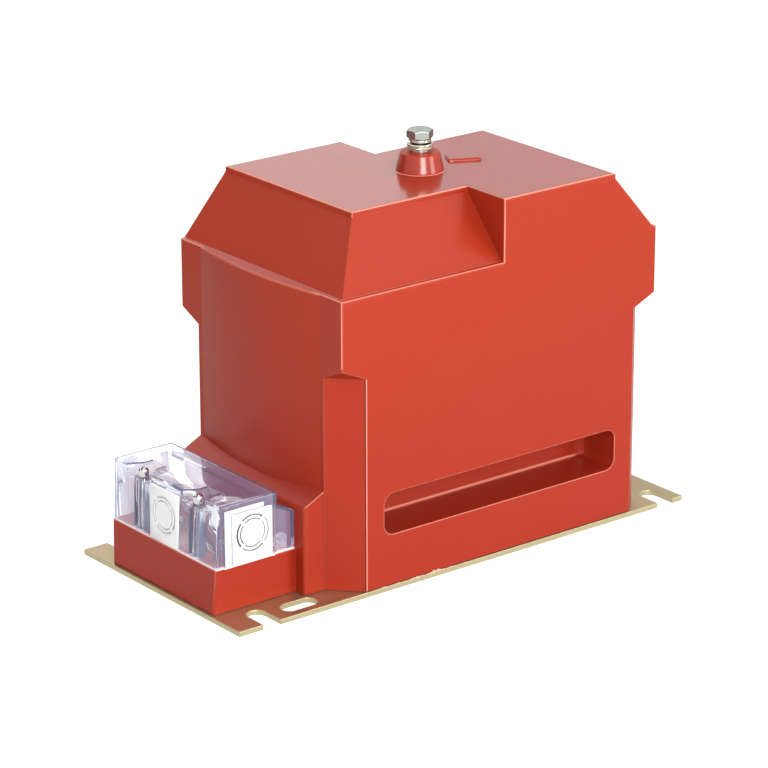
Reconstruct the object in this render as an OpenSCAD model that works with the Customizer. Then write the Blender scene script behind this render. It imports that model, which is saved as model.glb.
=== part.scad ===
// Cast-resin voltage transformer with one primary terminal on top, a steel base plate
// and a clear-covered secondary terminal box at one end.
// Millimetres. X runs along the length, Y across, Z up.
// The origin is at the middle of the underside of the base plate.

/* [Base plate] */
// Length of the steel base plate
plate_len = 384; // [380:1:400]
// Width of the base plate
plate_w = 178; // [178:1:190]
// Thickness of the base plate
plate_t = 3.5; // [3.5:0.5:6]
// Width of the four open fixing slots
slot_w = 14; // [10:0.5:16]
// Distance along X between the two pairs of open slots
slot_pitch = 342; // [338:1:344]
// Distance along X from the plate's middle to the middle of the slot pairs
slot_shift = 5; // [3:0.5:6]
// Distance across the plate between the centres of the slot ends
slot_span = 145; // [140:1:150]
// Length of the two closed long holes
obround_len = 28; // [20:1:28]
// Width of the two closed long holes
obround_w = 13; // [9:0.5:13]

/* [Cast body] */
// Length of the cast block
body_len = 270; // [264:1:276]
// Width of the cast block
body_w = 177; // [172:1:178]
// Height of the top face above the underside of the plate
body_h = 251; // [246:1:260]
// Distance along X from the plate's middle to the block's middle
body_x = 27; // [25:1:29]
// Length of the top face
top_len = 193; // [180:1:200]
// Distance from the centre line to the top face's narrow side
top_inset = 50; // [46:1:56]
// Height at which the slopes start
slope_z = 207.5; // [204:0.5:212]
// Depth of the upright lip under the top face
lip_h = 3.7; // [2:0.1:6]
// Width of the ledge at the foot of each slope
ledge_w = 2; // [1:0.5:3]
// Size of the corner flats, measured along either side
corner_c = 19.5; // [15:0.5:19.5]
// Height of the sharp corner above which the corner flats stop
corner_z = 160.5; // [150:0.5:170]
// Rise of the run-out above each corner flat
corner_rise = 8.7; // [5:0.1:12]
// Radius on the block's outer edges
edge_r = 1.6; // [1:0.1:2]
// Length across the bulge on each end of the block
bulge_chord = 130; // [120:1:134]
// How far each bulge stands out
bulge_rise = 6.3; // [4:0.1:8]

/* [Side recesses] */
// Length of the recess in each long side
recess_len = 201; // [160:1:204]
// Height of the recess
recess_h = 29; // [20:1:32]
// Height of the recess's lower edge
recess_z = 39.3; // [36:0.1:44]
// Depth of the recess
recess_depth = 31; // [20:1:33]
// Radius of the recess's corners
recess_r = 8; // [4:1:10]

/* [Primary terminal] */
// Diameter at the foot of the cone on the top face
boss_d1 = 33; // [30:0.5:40]
// Diameter at the top of the cone
boss_d2 = 27; // [24:0.5:28]
// Height of the cone
boss_h = 13; // [10:0.5:16]
// Thread size of the primary bolt
bolt_d = 10; // [8:1:12]
// Width across the flats of the bolt's head
bolt_af = 16; // [13:1:17]

/* [Terminal box] */
// Where the box's end face stands, along X
box_x0 = -190; // [-191:0.5:-188]
// Width of the terminal box
box_w = 117; // [114:1:119]
// Height of the box's rim
box_z = 34.5; // [32:0.5:36]
// Height of the clear cover's top
cover_z = 78; // [76:0.5:84]
// Wall of the clear cover
cover_wall = 2; // [1.6:0.1:2.2]
// Distance across between the two cover screws
cover_screw_span = 62; // [60:0.5:64]
// Distance between the secondary terminals
terminal_pitch = 18; // [17:0.5:18.5]

/* [Core and windings] */
// Width of the core's steel strip
core_depth = 50; // [40:1:52]
// Thickness of the wound core
core_build = 36; // [30:1:38]
// Length of the core's window
window_len = 132; // [130:1:134]
// Height of the core's window
window_h = 68; // [62:1:72]
// Height of the winding axis
winding_z = 150; // [148:1:152]
// Outer diameter of the primary winding
primary_d = 124; // [110:1:126]

/* [Hidden] */
$fn = 64;
over = 1;

// Cast block
arc_steps = 5;
bulge_r = (pow(bulge_chord / 2, 2) + pow(bulge_rise, 2)) / (2 * bulge_rise);
end_x = body_x - body_len / 2;
pedestal_x = end_x - 16;
pedestal_w = body_w - 2 * corner_c - 1;
pedestal_z = 65;
pedestal_rise = 8;
recess_draft = 2.2;
recess_inner_r = 3;
recess_end_r = 7;
boss_z = body_h + boss_h;
plaque_size = [23.5, 13.5, 1.7];
plaque_at = [39.7, 2.65];
plaque_turn = -27;
plaque_r = 3;
plaque_chamfer = 1;

// Screws that hold the block on the plate
body_screw_d = 6;
body_screw_head_d = 12;
body_screw_head_h = 3.2;
body_screw_at = [[end_x + 38, 62], [end_x + 38, -62], [end_x + 232, 62], [end_x + 232, -62]];
body_insert_d = 10;
body_insert_h = 20;
body_screw_len = 16;

// Primary terminal stack
insert_d = 20;
insert_len = 35;
insert_groove_at = 10;
insert_groove_h = 6;
insert_groove_depth = 1.5;
insert_neck_d = 14;
insert_neck_h = 2.3;
insert_hex_af = 17;
insert_hex_h = 2;
insert_hex_turn = 40;
flat_washer_d = 18;
flat_washer_t = 1.6;
spring_washer_d = 15.5;
spring_washer_t = 2.2;
spring_tilt = 4.5;
spring_slit = 1.2;
bolt_head_h = 5.8;
bolt_head_turn = 32;
bolt_len = 26;
insert_top = boss_z + insert_neck_h + insert_hex_h;
spring_foot = insert_top + flat_washer_t + spring_washer_d / 2 * sin(spring_tilt);
bolt_seat = spring_foot + spring_washer_d / 2 * sin(spring_tilt) + spring_washer_t * cos(spring_tilt);

// Terminal box
box_x1 = pedestal_x;
box_draft = 2;
box_corner_r = 4;
plinth_h = 1.5;
cover_gap = 0.5;
cover_x0 = box_x0 + box_draft + 0.5;
cover_x1 = box_x1 - cover_gap;
cover_lean = 2;
step_x = cover_x1 - 14.5;
step_z = cover_z - 9.7;
shoulder_z = step_z - 6.8;
shoulder_r = 4;
shoulder_inset = 0.64;
cover_corner_r = 2;
cover_top_r = 2;
cover_screw_x = cover_x0 + 6.3;
cover_screw_d = 4;
cover_screw_head_d = 7;
cover_screw_head_h = 7;
cover_slot_w = 1.2;
cover_slot_h = 1.4;
cross_hole_d = 1.6;
post_d = 12.5;
pocket_floor = 71;
pocket_depth = 17;
pocket_neck = 10;
pocket_inner = 7.5;
pocket_outer = 17;
cover_insert_d = 7;
cover_insert_h = 12;

// Cable entry plates
entry_w = 32;
entry_t = 2.6;
entry_h = 36;
entry_end_h = 38.5;
entry_proud = 1.6;
entry_r = 2;
entry_x = -159.5;
entry_ring_z = 55;
entry_rings = [[13, 0.9], [10, 0.7]];
rail_w = 6.4;
frame_z = 76;
frame_r = 3;
frame_cut = 6;
flange_side = 5;
flange_top = 4;
entry_flange_t = 1;
rebate = 2;

// Secondary terminals
terminal_count = 5;
terminal_x = -161;
terminal_d = 5;
terminal_insert_af = 9;
terminal_insert_h = 14;
terminal_top = box_z + plinth_h + 1;
terminal_bore = 10;
small_washer_d = 10;
small_washer_t = 1;
small_spring_d = 8.8;
small_spring_t = 1.2;
small_slit = 0.8;
pan_head_r = 4.7;
pan_head_h = 3.4;
pan_shank = 9;
pan_cross = [5.2, 1, 1.8];

// Core and windings
core_z0 = winding_z - window_h - core_build * 1.5;
core_len = window_len + 2 * core_build;
core_h = window_h + 2 * core_build;
core_inner_r = 4;
band_w = 20;
band_t = 0.8;
former_d = 72;
former_len = window_len - 8;
flange_t = 4;
flange_d = 89;
coil_len = former_len - 2 * flange_t;
secondary_d = 78;
residual_d = 83;
barrier_d = flange_d;
layer_steps = 5;
primary_top_len = 72;
screen_t = 0.6;
screen_slit = 6;
lead_d = 2.4;
earth_lead_d = 3;
primary_lead_d = 4;
lead_floor = 14;
bend_r = 3;

// Corner of an outline between the points p, q and s, rounded to the radius r
function unit(v) = v / norm(v);
function corner(p, q, s, r) =
    r == 0 ? [q] :
    let (u = unit(p - q), v = unit(s - q), half = acos(u * v) / 2)
    let (centre = q + unit(u + v) * r / sin(half), first = q + u * r / tan(half))
    let (a0 = atan2(first.y - centre.y, first.x - centre.x), turn = 180 - 2 * half)
    let (side = sign(cross(q - p, s - q)))
    [for (i = [0 : arc_steps]) let (a = a0 + side * turn * i / arc_steps) centre + r * [cos(a), sin(a)]];

// Outline with its corners rounded, each to its own radius
function rounded(points, radii) =
    let (n = len(points))
    [for (i = [0 : n - 1]) each corner(points[(i + n - 1) % n], points[i], points[(i + 1) % n], radii[i])];

// Flat outline in X and Z, carried across Y over the width w
module across_y(w) {
    rotate([90, 0, 0]) linear_extrude(w, center = true) children();
}

// Flat outline in Y and Z, carried along X from 0 to the length l
module along_x(l) {
    rotate([90, 0, 90]) linear_extrude(l) children();
}

// Cylinder along X, centred on the origin
module rod_x(d, l) {
    rotate([0, 90, 0]) cylinder(d = d, h = l, center = true);
}

// Rectangle with true round corners, centred on the origin
module round_rect(l, w, r) {
    square([l - 2 * r, w], center = true);
    square([l, w - 2 * r], center = true);
    for (x = [-1, 1], y = [-1, 1]) translate([x * (l / 2 - r), y * (w / 2 - r)]) circle(r);
}

// Round wire along points whose runs stand square to each other, with a quarter bend at each corner
module wire(points, d) {
    last = len(points) - 1;
    for (i = [0 : last - 1]) {
        way = unit(points[i + 1] - points[i]);
        from = points[i] + way * (i > 0 ? bend_r : 0);
        to = points[i + 1] - way * (i < last - 1 ? bend_r : 0);
        translate(from) rotate([0, acos(way.z), atan2(way.y, way.x)])
            cylinder(d = d, h = norm(to - from), $fn = 24);
    }
    for (i = [1 : last - 1]) {
        u = unit(points[i] - points[i - 1]);
        v = unit(points[i + 1] - points[i]);
        w = cross(u, v);
        centre = points[i] + (v - u) * bend_r;
        multmatrix([[-v.x, u.x, w.x, centre.x], [-v.y, u.y, w.y, centre.y], [-v.z, u.z, w.z, centre.z],
            [0, 0, 0, 1]])
            rotate_extrude(angle = 90, $fn = 48) translate([bend_r, 0]) circle(d = d, $fn = 24);
    }
}

// Four open slots, two long holes and the countersunk holes
module base_plate() {
    color("#c9b77a")
    difference() {
        linear_extrude(plate_t) difference() {
            square([plate_len, plate_w], center = true);
            for (side = [-1, 1]) {
                for (end = [-1, 1]) translate([slot_shift + end * slot_pitch / 2, 0]) {
                    translate([0, side * slot_span / 2]) circle(d = slot_w);
                    translate([-slot_w / 2, side > 0 ? slot_span / 2 : -plate_w / 2 - over])
                        square([slot_w, (plate_w - slot_span) / 2 + over]);
                }
                translate([pedestal_x - 11, side * (plate_w / 2 - 12.5)]) {
                    square([obround_len - obround_w, obround_w], center = true);
                    for (end = [-1, 1]) translate([end * (obround_len - obround_w) / 2, 0])
                        circle(d = obround_w);
                }
            }
        }
        for (p = body_screw_at) translate([p.x, p.y, 0]) {
            translate([0, 0, -over]) cylinder(d = body_screw_d + 0.6, h = plate_t + 2 * over);
            translate([0, 0, -0.01])
                cylinder(d1 = body_screw_head_d + 0.4, d2 = body_screw_d + 0.6, h = body_screw_head_h);
        }
    }
}

// One half of the block, with the slope on its front and on its own end
module half_block() {
    l = body_len / 2;
    w = body_w / 2;
    e = edge_r;
    plan = [[-l, -w], [0, -w], [0, w], [-l, w]];
    end_outline = [[-l, 0], [0, 0], [0, body_h], [-top_len / 2, body_h], [-top_len / 2, body_h - lip_h],
        [-l + ledge_w + e, slope_z], [-l, slope_z]];
    front_outline = [[-w, 0], [w, 0], [w, body_h], [-top_inset, body_h], [-top_inset, body_h - lip_h],
        [-w + ledge_w + e, slope_z], [-w, slope_z]];
    difference() {
        intersection() {
            linear_extrude(body_h) polygon(rounded(plan, [e, 0, 0, e]));
            across_y(body_w + over) polygon(rounded(end_outline, [0, 0, 0, e, e, 0, e]));
            translate([-l - over, 0, 0]) along_x(l + over)
                polygon(rounded(front_outline, [0, 0, e, e, e, 0, e]));
        }
        translate([0, w, slope_z]) linear_extrude(body_h) difference() {
            translate([-e, -e]) square(2 * e);
            translate([-e, -e]) circle(e);
        }
    }
}

// Bulge on the end of the block, part of a large upright cylinder; its flanks end inside the block
module end_bulge() {
    c = edge_r * 0.7;
    intersection() {
        translate([-body_len / 2 - bulge_rise + bulge_r, 0, 0]) {
            cylinder(r = bulge_r, h = slope_z - c, $fn = 360);
            translate([0, 0, slope_z - c]) cylinder(r1 = bulge_r, r2 = bulge_r - c, h = c, $fn = 360);
        }
        translate([-body_len / 2 - bulge_rise - over, -bulge_chord / 2 - 3, 0])
            cube([bulge_rise + 10, bulge_chord + 6, slope_z]);
    }
}

// Wedge that takes off one lower corner of the block and ends in a sloping run-out
module corner_flat() {
    flat = corner_c / sqrt(2);
    reach = flat + 10;
    rotate([90, 0, 45]) translate([-flat, 0, -corner_c * 2]) linear_extrude(corner_c * 4)
        polygon([[0, -over], [reach, -over], [reach, corner_z - corner_rise + corner_rise * reach / flat],
            [0, corner_z - corner_rise]]);
}

// Long recess that closes in a little towards its back, round at its mouth and at its two inner ends
module side_recess() {
    module slab(l, h, r, depth, n) {
        translate([0, depth - body_w / 2, recess_z + recess_h / 2]) rotate([90, 0, 0])
            linear_extrude(0.02) round_rect(l, h, r, $fn = n);
    }
    l = recess_len - 2 * recess_draft;
    h = recess_h - 2 * recess_draft;
    hull() {
        slab(recess_len + 0.2, recess_h + 0.2, recess_r, -over, 32);
        slab(recess_len, recess_h, recess_r, 0, 32);
        for (a = [0 : 30 : 90])
            slab(l - 2 * recess_end_r * (1 - cos(a)), h, recess_inner_r,
                recess_depth - recess_end_r * (1 - sin(a)), 16);
    }
}

// Foot that joins the terminal box to the end of the block
module pedestal() {
    w = pedestal_w / 2;
    e = edge_r * 1.5;
    top = pedestal_z + pedestal_rise;
    intersection() {
        translate([end_x, 0, 0]) across_y(pedestal_w)
            polygon(rounded([[-16, 0], [3, 0], [3, top + 1.5], [-16, pedestal_z]], [0, 0, 0, e]));
        linear_extrude(top + 2)
            polygon(rounded([[pedestal_x, -w], [end_x + 4, -w], [end_x + 4, w], [pedestal_x, w]],
                [e, 0, 0, e]));
    }
}

// Low box that carries the secondary terminals, with a plinth that locates the cover
module terminal_box() {
    w = box_w / 2;
    r = box_corner_r;
    intersection() {
        across_y(box_w)
            polygon([[box_x0, 0], [box_x1 + over, 0], [box_x1 + over, box_z], [box_x0 + box_draft, box_z]]);
        linear_extrude(box_z)
            polygon(rounded([[box_x0, -w], [box_x1 + over, -w], [box_x1 + over, w], [box_x0, w]], [r, 0, 0, r]));
    }
    difference() {
        translate([cover_x0 + cover_wall + 0.6, -w + cover_wall + 0.6, box_z - over])
            cube([cover_x1 - cover_x0 - 2 * cover_wall - 1.2, box_w - 2 * cover_wall - 1.2, plinth_h + over]);
        for (side = [-1, 1]) translate([cover_screw_x, side * cover_screw_span / 2, box_z])
            cylinder(d = post_d + 1, h = plinth_h + over);
    }
}

// Cone under the primary terminal, with a rounded rim and a small fillet at its foot
module primary_boss() {
    r1 = boss_d1 / 2;
    r2 = boss_d2 / 2;
    rotate_extrude()
        polygon(rounded([[0, -over], [r1 + 2, -over], [r1 + 2, 0], [r1, 0], [r2, boss_h], [0, boss_h]],
            [0, 0, 0, 1, 1.8, 0]));
}

// Section of the plaque over its width w, with its upper corners chamfered
module plaque_profile(w) {
    h = plaque_size.z;
    c = plaque_chamfer;
    polygon([[-w / 2, -over], [w / 2, -over], [w / 2, h - c], [w / 2 - c, h], [c - w / 2, h],
        [-w / 2, h - c]]);
}

// Bare raised plaque beside the cone
module terminal_plaque() {
    intersection() {
        translate([0, 0, -over]) linear_extrude(plaque_size.z + over)
            polygon(rounded([[-plaque_size.x, -plaque_size.y] / 2, [plaque_size.x, -plaque_size.y] / 2,
                [plaque_size.x, plaque_size.y] / 2, [-plaque_size.x, plaque_size.y] / 2],
                [for (i = [0 : 3]) plaque_r]));
        across_y(plaque_size.y + over) plaque_profile(plaque_size.x);
        translate([-plaque_size.x, 0, 0]) along_x(2 * plaque_size.x) plaque_profile(plaque_size.y);
    }
}

// Block with its bulges, corner flats and recesses, centred on its own axis
module block() {
    difference() {
        for (turn = [0, 180]) rotate(turn) {
            half_block();
            end_bulge();
        }
        for (end = [0, 180]) rotate(end) {
            translate([body_len / 2, body_w / 2, 0]) corner_flat();
            translate([-body_len / 2, body_w / 2, 0]) rotate(90) corner_flat();
            side_recess();
        }
    }
}

// Casting as it leaves the mould, before what is cast into it is taken away
module casting() {
    difference() {
        union() {
            translate([body_x, 0, 0]) block();
            pedestal();
            terminal_box();
        }
        translate([-plate_len, -plate_w, -over]) cube([2 * plate_len, 2 * plate_w, plate_t + over]);
    }
    translate([body_x, 0, body_h]) {
        primary_boss();
        translate(plaque_at) rotate(plaque_turn) terminal_plaque();
    }
}

// Red casting, hollow only where other pieces are cast into it
module resin_body() {
    color("#c2402c")
    difference() {
        casting();
        insert_blank();
        for (p = body_screw_at) translate([p.x, p.y, plate_t - over])
            cylinder(d = body_insert_d, h = body_insert_h + over);
        for (side = [-1, 1]) translate([cover_screw_x, side * cover_screw_span / 2, box_z - cover_insert_h])
            cylinder(d = cover_insert_d, h = cover_insert_h + over);
        at_terminals() terminal_insert_blank();
        core_shape(core_len, core_h);
        band_shape();
        band_clip_shape();
        winding_pack();
        primary_lead_shape();
        earth_end_route();
        secondary_routes();
    }
}

// Threaded inserts in the underside of the casting
module body_inserts() {
    color("#b08d3e")
    for (p = body_screw_at) translate([p.x, p.y, plate_t]) difference() {
        cylinder(d = body_insert_d, h = body_insert_h);
        translate([0, 0, -over]) cylinder(d = body_screw_d, h = body_screw_len - plate_t + over + 1);
    }
}

// Countersunk screws through the plate into the casting
module body_screws() {
    color("#b9b48f")
    for (p = body_screw_at) translate([p.x, p.y, 0.2]) {
        cylinder(d1 = body_screw_head_d, d2 = body_screw_d, h = body_screw_head_h - 0.2);
        cylinder(d = body_screw_d, h = body_screw_len - 0.2);
    }
}

// Outside of the primary insert: knurl-grooved barrel, neck and hexagon
module insert_blank() {
    translate([body_x, 0, 0]) {
        foot = boss_z - insert_len;
        groove_top = insert_groove_at + insert_groove_h;
        translate([0, 0, foot]) cylinder(d = insert_d, h = insert_groove_at);
        translate([0, 0, foot + insert_groove_at])
            cylinder(d = insert_d - 2 * insert_groove_depth, h = insert_groove_h);
        translate([0, 0, foot + groove_top]) cylinder(d = insert_d, h = insert_len - groove_top);
        translate([0, 0, boss_z]) cylinder(d = insert_neck_d, h = insert_neck_h);
        translate([0, 0, boss_z + insert_neck_h]) hexagon(insert_hex_af, insert_hex_h, insert_hex_turn);
    }
}

// Six-sided prism with its top and bottom corners turned off
module hexagon(af, h, turn) {
    corner_r = af / sqrt(3);
    c = corner_r - af / 2 * 0.98;
    intersection() {
        rotate(turn) cylinder(r = corner_r, h = h, $fn = 6);
        rotate_extrude()
            polygon([[0, 0], [corner_r - c, 0], [corner_r + 0.01, c * 0.58], [corner_r + 0.01, h - c * 0.58],
            [corner_r - c, h], [0, h]]);
    }
}

// Plated brass insert that carries the primary bolt
module primary_insert() {
    color("#cfc9ad")
    difference() {
        insert_blank();
        translate([body_x, 0, bolt_seat - bolt_len - 1]) cylinder(d = bolt_d, h = bolt_len + 2);
    }
}

// Flat washer on the primary insert
module primary_flat_washer() {
    color("#d0cdb8")
    translate([body_x, 0, insert_top]) difference() {
        cylinder(d = flat_washer_d, h = flat_washer_t);
        translate([0, 0, -over]) cylinder(d = bolt_d + 0.5, h = flat_washer_t + 2 * over);
    }
}

// Split spring washer under the bolt's head, higher on its front side
module primary_spring_washer() {
    color("#bdbba8")
    translate([body_x, 0, spring_foot]) rotate(-38) rotate([-spring_tilt, 0, 0]) difference() {
        cylinder(d = spring_washer_d, h = spring_washer_t);
        translate([0, 0, -over]) cylinder(d = bolt_d + 0.6, h = spring_washer_t + 2 * over);
        rotate(-20) rotate([20, 0, 0]) translate([0, -spring_slit / 2, -spring_washer_d / 2])
            cube([spring_washer_d, spring_slit, spring_washer_d]);
    }
}

// Hexagon bolt of the primary terminal
module primary_bolt() {
    color("#b8b7a6")
    translate([body_x, 0, bolt_seat]) {
        hexagon(bolt_af, bolt_head_h, bolt_head_turn);
        translate([0, 0, -bolt_len]) cylinder(d = bolt_d, h = bolt_len + over);
    }
}

// Side outline of the cover, drawn in by the inset t
function cover_outline(t) = let (foot = box_z - (t > 0 ? over : 0), top_r = max(cover_top_r - t, 0))
    rounded([[cover_x0 + t, foot],
        [cover_x0 + t + cover_lean * (cover_z - t - box_z) / (cover_z - box_z), cover_z - t],
        [step_x - t, cover_z - t], [step_x - t, step_z - shoulder_inset * t],
        [cover_x1 - t, shoulder_z - shoulder_inset * t], [cover_x1 - t, foot]],
        [0, top_r, top_r, 0, shoulder_r - t, 0]);

// Solid of the cover, drawn in by the inset t
module cover_solid(t) {
    w = box_w / 2 - t;
    r = max(cover_corner_r - t, 0.5);
    top_r = max(cover_top_r - t, 0);
    intersection() {
        across_y(box_w) polygon(cover_outline(t));
        translate([cover_x0, 0, 0]) along_x(cover_x1 - cover_x0)
            polygon(rounded([[-w, 0], [w, 0], [w, cover_z - t], [-w, cover_z - t]], [0, 0, top_r, top_r]));
        linear_extrude(cover_z)
            polygon(rounded([[cover_x0 + t, -w], [cover_x1 - t, -w], [cover_x1 - t, w], [cover_x0 + t, w]],
            [r, 1, 1, r]));
    }
}

// Screw pocket in the cover's top and end face, widened by the wall t
module pocket(t) {
    inner = pocket_inner + t * 0.7;
    outer = pocket_outer + t;
    translate([cover_x0 + cover_lean, 0, pocket_floor - t]) linear_extrude(20)
        polygon([[-6, -outer], [pocket_neck, -inner], [pocket_depth + t, -inner], [pocket_depth + t, inner],
            [pocket_neck, inner], [-6, outer]]);
}

// Raised frame on the side of the cover, cut off at its upper right
module entry_frame() {
    w = entry_w / 2 + rail_w;
    right = entry_w / 2 + rebate;
    translate([entry_x, -box_w / 2, 0]) rotate([90, 0, 0]) linear_extrude(entry_proud)
        polygon(rounded([[-w, box_z], [right, box_z], [right, frame_z - frame_cut],
            [right - frame_cut, frame_z], [-w, frame_z]],
            [0, 0, 0, 0, frame_r]));
}

// Thin flange of a side entry plate that slides in behind the frame's rail and top, grown by the gap g
module entry_flange(g) {
    translate([-entry_w / 2 - flange_side - g, entry_t - entry_flange_t, box_z - (g > 0 ? over : 0)])
        cube([entry_w + flange_side - frame_cut + 2 * g, entry_flange_t,
            entry_h + flange_top - 1 + g + (g > 0 ? over : 0)]);
}

// Bay for a side entry plate: the rebate it sits in, the slit for its flange and the window behind it
module entry_bay() {
    translate([entry_x, -box_w / 2 - entry_proud, 0]) {
        entry_flange(0.2);
        translate([-entry_w / 2, -over, box_z - over]) cube([entry_w, entry_t + over, entry_h + over]);
        translate([-entry_w / 2 + rebate, 0, box_z - over])
            cube([entry_w - 2 * rebate, 2 * entry_t, entry_h - rebate + over]);
    }
}

// Clear moulded cover of the terminal box
module terminal_cover() {
    color("#dfe3ee", 0.4)
    difference() {
        union() {
            difference() {
                cover_solid(0);
                cover_solid(cover_wall);
            }
            for (side = [-1, 1]) {
                intersection() {
                    cover_solid(0);
                    translate([0, side * cover_screw_span / 2, 0]) pocket(cover_wall);
                }
                translate([cover_screw_x, side * cover_screw_span / 2, box_z])
                    cylinder(d = post_d, h = pocket_floor - box_z);
                mirror([0, side > 0 ? 1 : 0, 0]) entry_frame();
            }
        }
        for (side = [-1, 1]) {
            translate([0, side * cover_screw_span / 2, 0]) pocket(0);
            translate([cover_screw_x, side * cover_screw_span / 2, box_z - over])
                cylinder(d = cover_screw_d + 0.4, h = pocket_floor - box_z + 2 * over);
            mirror([0, side > 0 ? 1 : 0, 0]) entry_bay();
        }
        end_bay();
    }
}

// Window in the cover's end face for the end entry plate
module end_bay() {
    translate([cover_x0 - over, -entry_w / 2, box_z - over])
        cube([over + entry_t, entry_w, entry_end_h + over]);
    translate([cover_x0, -entry_w / 2 + rebate, box_z - over])
        cube([3 * entry_t, entry_w - 2 * rebate, entry_end_h - rebate + over]);
}

// Cylinder-head screws of the cover
module cover_screws() {
    color("#8f9092")
    for (side = [-1, 1]) translate([cover_screw_x, side * cover_screw_span / 2, pocket_floor]) difference() {
        union() {
            cylinder(d = cover_screw_head_d, h = cover_screw_head_h);
            translate([0, 0, box_z - cover_insert_h + 2 - pocket_floor])
                cylinder(d = cover_screw_d, h = pocket_floor - box_z + cover_insert_h - 1);
        }
        translate([-cover_screw_head_d, -cover_slot_w / 2, cover_screw_head_h - cover_slot_h])
            cube([2 * cover_screw_head_d, cover_slot_w, cover_slot_h + over]);
        translate([0, 0, cover_screw_head_h - 4]) rotate([90, 0, 0])
            cylinder(d = cross_hole_d, h = 2 * cover_screw_head_d, center = true);
    }
}

// Brass inserts for the cover screws
module cover_inserts() {
    color("#b08d3e")
    for (side = [-1, 1]) translate([cover_screw_x, side * cover_screw_span / 2, box_z - cover_insert_h])
        difference() {
        cylinder(d = cover_insert_d, h = cover_insert_h);
        translate([0, 0, 1.5]) cylinder(d = cover_screw_d, h = cover_insert_h);
    }
}

// Knock-out plate standing in X and Z, with two broken rings in its face
module entry_plate(h, flanged = false) {
    difference() {
        union() {
            translate([0, 0, box_z]) rotate([90, 0, 0]) linear_extrude(entry_t)
                polygon(rounded([[-entry_w / 2, 0], [entry_w / 2, 0], [entry_w / 2, h], [-entry_w / 2, h]],
                    [0, 0, entry_r, entry_r]));
            if (flanged) translate([0, -entry_t, 0]) entry_flange(0);
        }
        for (ring = entry_rings) translate([0, -entry_t, entry_ring_z]) rotate([90, 0, 0]) difference() {
            cylinder(r = ring[0], h = 2.4, center = true);
            cylinder(r = ring[0] - ring[1], h = 3, center = true);
            for (a = [5, 95]) rotate(a) cube([40, 2, 4], center = true);
        }
    }
}

// White knock-out plate in the cover's front side
module entry_plate_front() {
    color("#f4f4f2") translate([entry_x, -box_w / 2 - entry_proud + entry_t, 0]) entry_plate(entry_h, true);
}

// White knock-out plate in the cover's back side
module entry_plate_back() {
    color("#f4f4f2") mirror([0, 1, 0]) translate([entry_x, -box_w / 2 - entry_proud + entry_t, 0])
        entry_plate(entry_h, true);
}

// White knock-out plate in the cover's end face
module entry_plate_end() {
    color("#f4f4f2") translate([cover_x0 + entry_t, 0, 0]) rotate(-90) entry_plate(entry_end_h);
}

// Repeats what follows at each secondary terminal
module at_terminals() {
    for (i = [0 : terminal_count - 1])
        translate([terminal_x, (i - (terminal_count - 1) / 2) * terminal_pitch, 0])
        children();
}

// Outside of one secondary insert
module terminal_insert_blank() {
    translate([0, 0, box_z - terminal_insert_h])
        cylinder(d = terminal_insert_af / cos(30), h = terminal_top - box_z + terminal_insert_h, $fn = 6);
}

// Hexagonal brass inserts of the secondary terminals
module secondary_inserts() {
    color("#b08d3e")
    at_terminals() difference() {
        terminal_insert_blank();
        translate([0, 0, terminal_top - terminal_bore]) cylinder(d = terminal_d, h = terminal_bore + over);
    }
}

// Flat washers of the secondary terminals
module secondary_washers() {
    color("#c9c6b0")
    at_terminals() translate([0, 0, terminal_top]) difference() {
        cylinder(d = small_washer_d, h = small_washer_t);
        translate([0, 0, -over]) cylinder(d = terminal_d + 0.4, h = small_washer_t + 2 * over);
    }
}

// Spring washers of the secondary terminals
module secondary_spring_washers() {
    color("#bdbba8")
    at_terminals() translate([0, 0, terminal_top + small_washer_t]) difference() {
        cylinder(d = small_spring_d, h = small_spring_t);
        translate([0, 0, -over]) cylinder(d = terminal_d + 0.3, h = small_spring_t + 2 * over);
        translate([0, -small_slit / 2, -over]) cube([small_spring_d, small_slit, small_spring_t + 2 * over]);
    }
}

// Pan-head screws of the secondary terminals
module secondary_screws() {
    color("#c6c3a8")
    at_terminals() translate([0, 0, terminal_top + small_washer_t + small_spring_t]) difference() {
        union() {
            rotate_extrude()
                polygon(rounded([[0, 0], [pan_head_r, 0], [pan_head_r, pan_head_h], [0, pan_head_h]],
                    [0, 0, 1.4, 0]));
            translate([0, 0, -pan_shank]) cylinder(d = terminal_d, h = pan_shank + over);
        }
        for (turn = [0, 90]) rotate(turn)
            translate([-pan_cross.x / 2, -pan_cross.y / 2, pan_head_h - pan_cross.z])
                cube(pan_cross + [0, 0, over]);
    }
}

// Wound core as one closed ring of the given outside size
module core_shape(l, h) {
    translate([body_x, 0, core_z0 + core_h / 2]) across_y(core_depth) difference() {
        round_rect(l, h, core_inner_r + core_build);
        round_rect(window_len, window_h, core_inner_r);
    }
}

// Half of the cut core on one side of its joint
module core_half(side) {
    color("#7f8388")
    intersection() {
        core_shape(core_len, core_h);
        translate([body_x + (side < 0 ? -core_len : 0), -core_depth, 0])
            cube([core_len, 2 * core_depth, 2 * core_h]);
    }
}

// Half of the cut core towards the terminal box
module core_half_left() {
    core_half(-1);
}

// Half of the cut core away from the terminal box
module core_half_right() {
    core_half(1);
}

// Outline of the strap around the core
module band_shape() {
    translate([body_x, 0, core_z0 + core_h / 2]) across_y(band_w) difference() {
        round_rect(core_len + 2 * band_t, core_h + 2 * band_t, core_inner_r + core_build + band_t);
        round_rect(core_len, core_h, core_inner_r + core_build);
    }
}

// Steel strap that pulls the two core halves together
module core_band() {
    color("#9da1a4") band_shape();
}

// Block of the clip that closes the strap
module band_clip_shape() {
    translate([body_x - 15, -band_w / 2 - 1, core_z0 - band_t - 2]) cube([30, band_w + 2, 2]);
}

// Clip that closes the strap under the core
module band_clip() {
    color("#8c9094") band_clip_shape();
}

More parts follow.
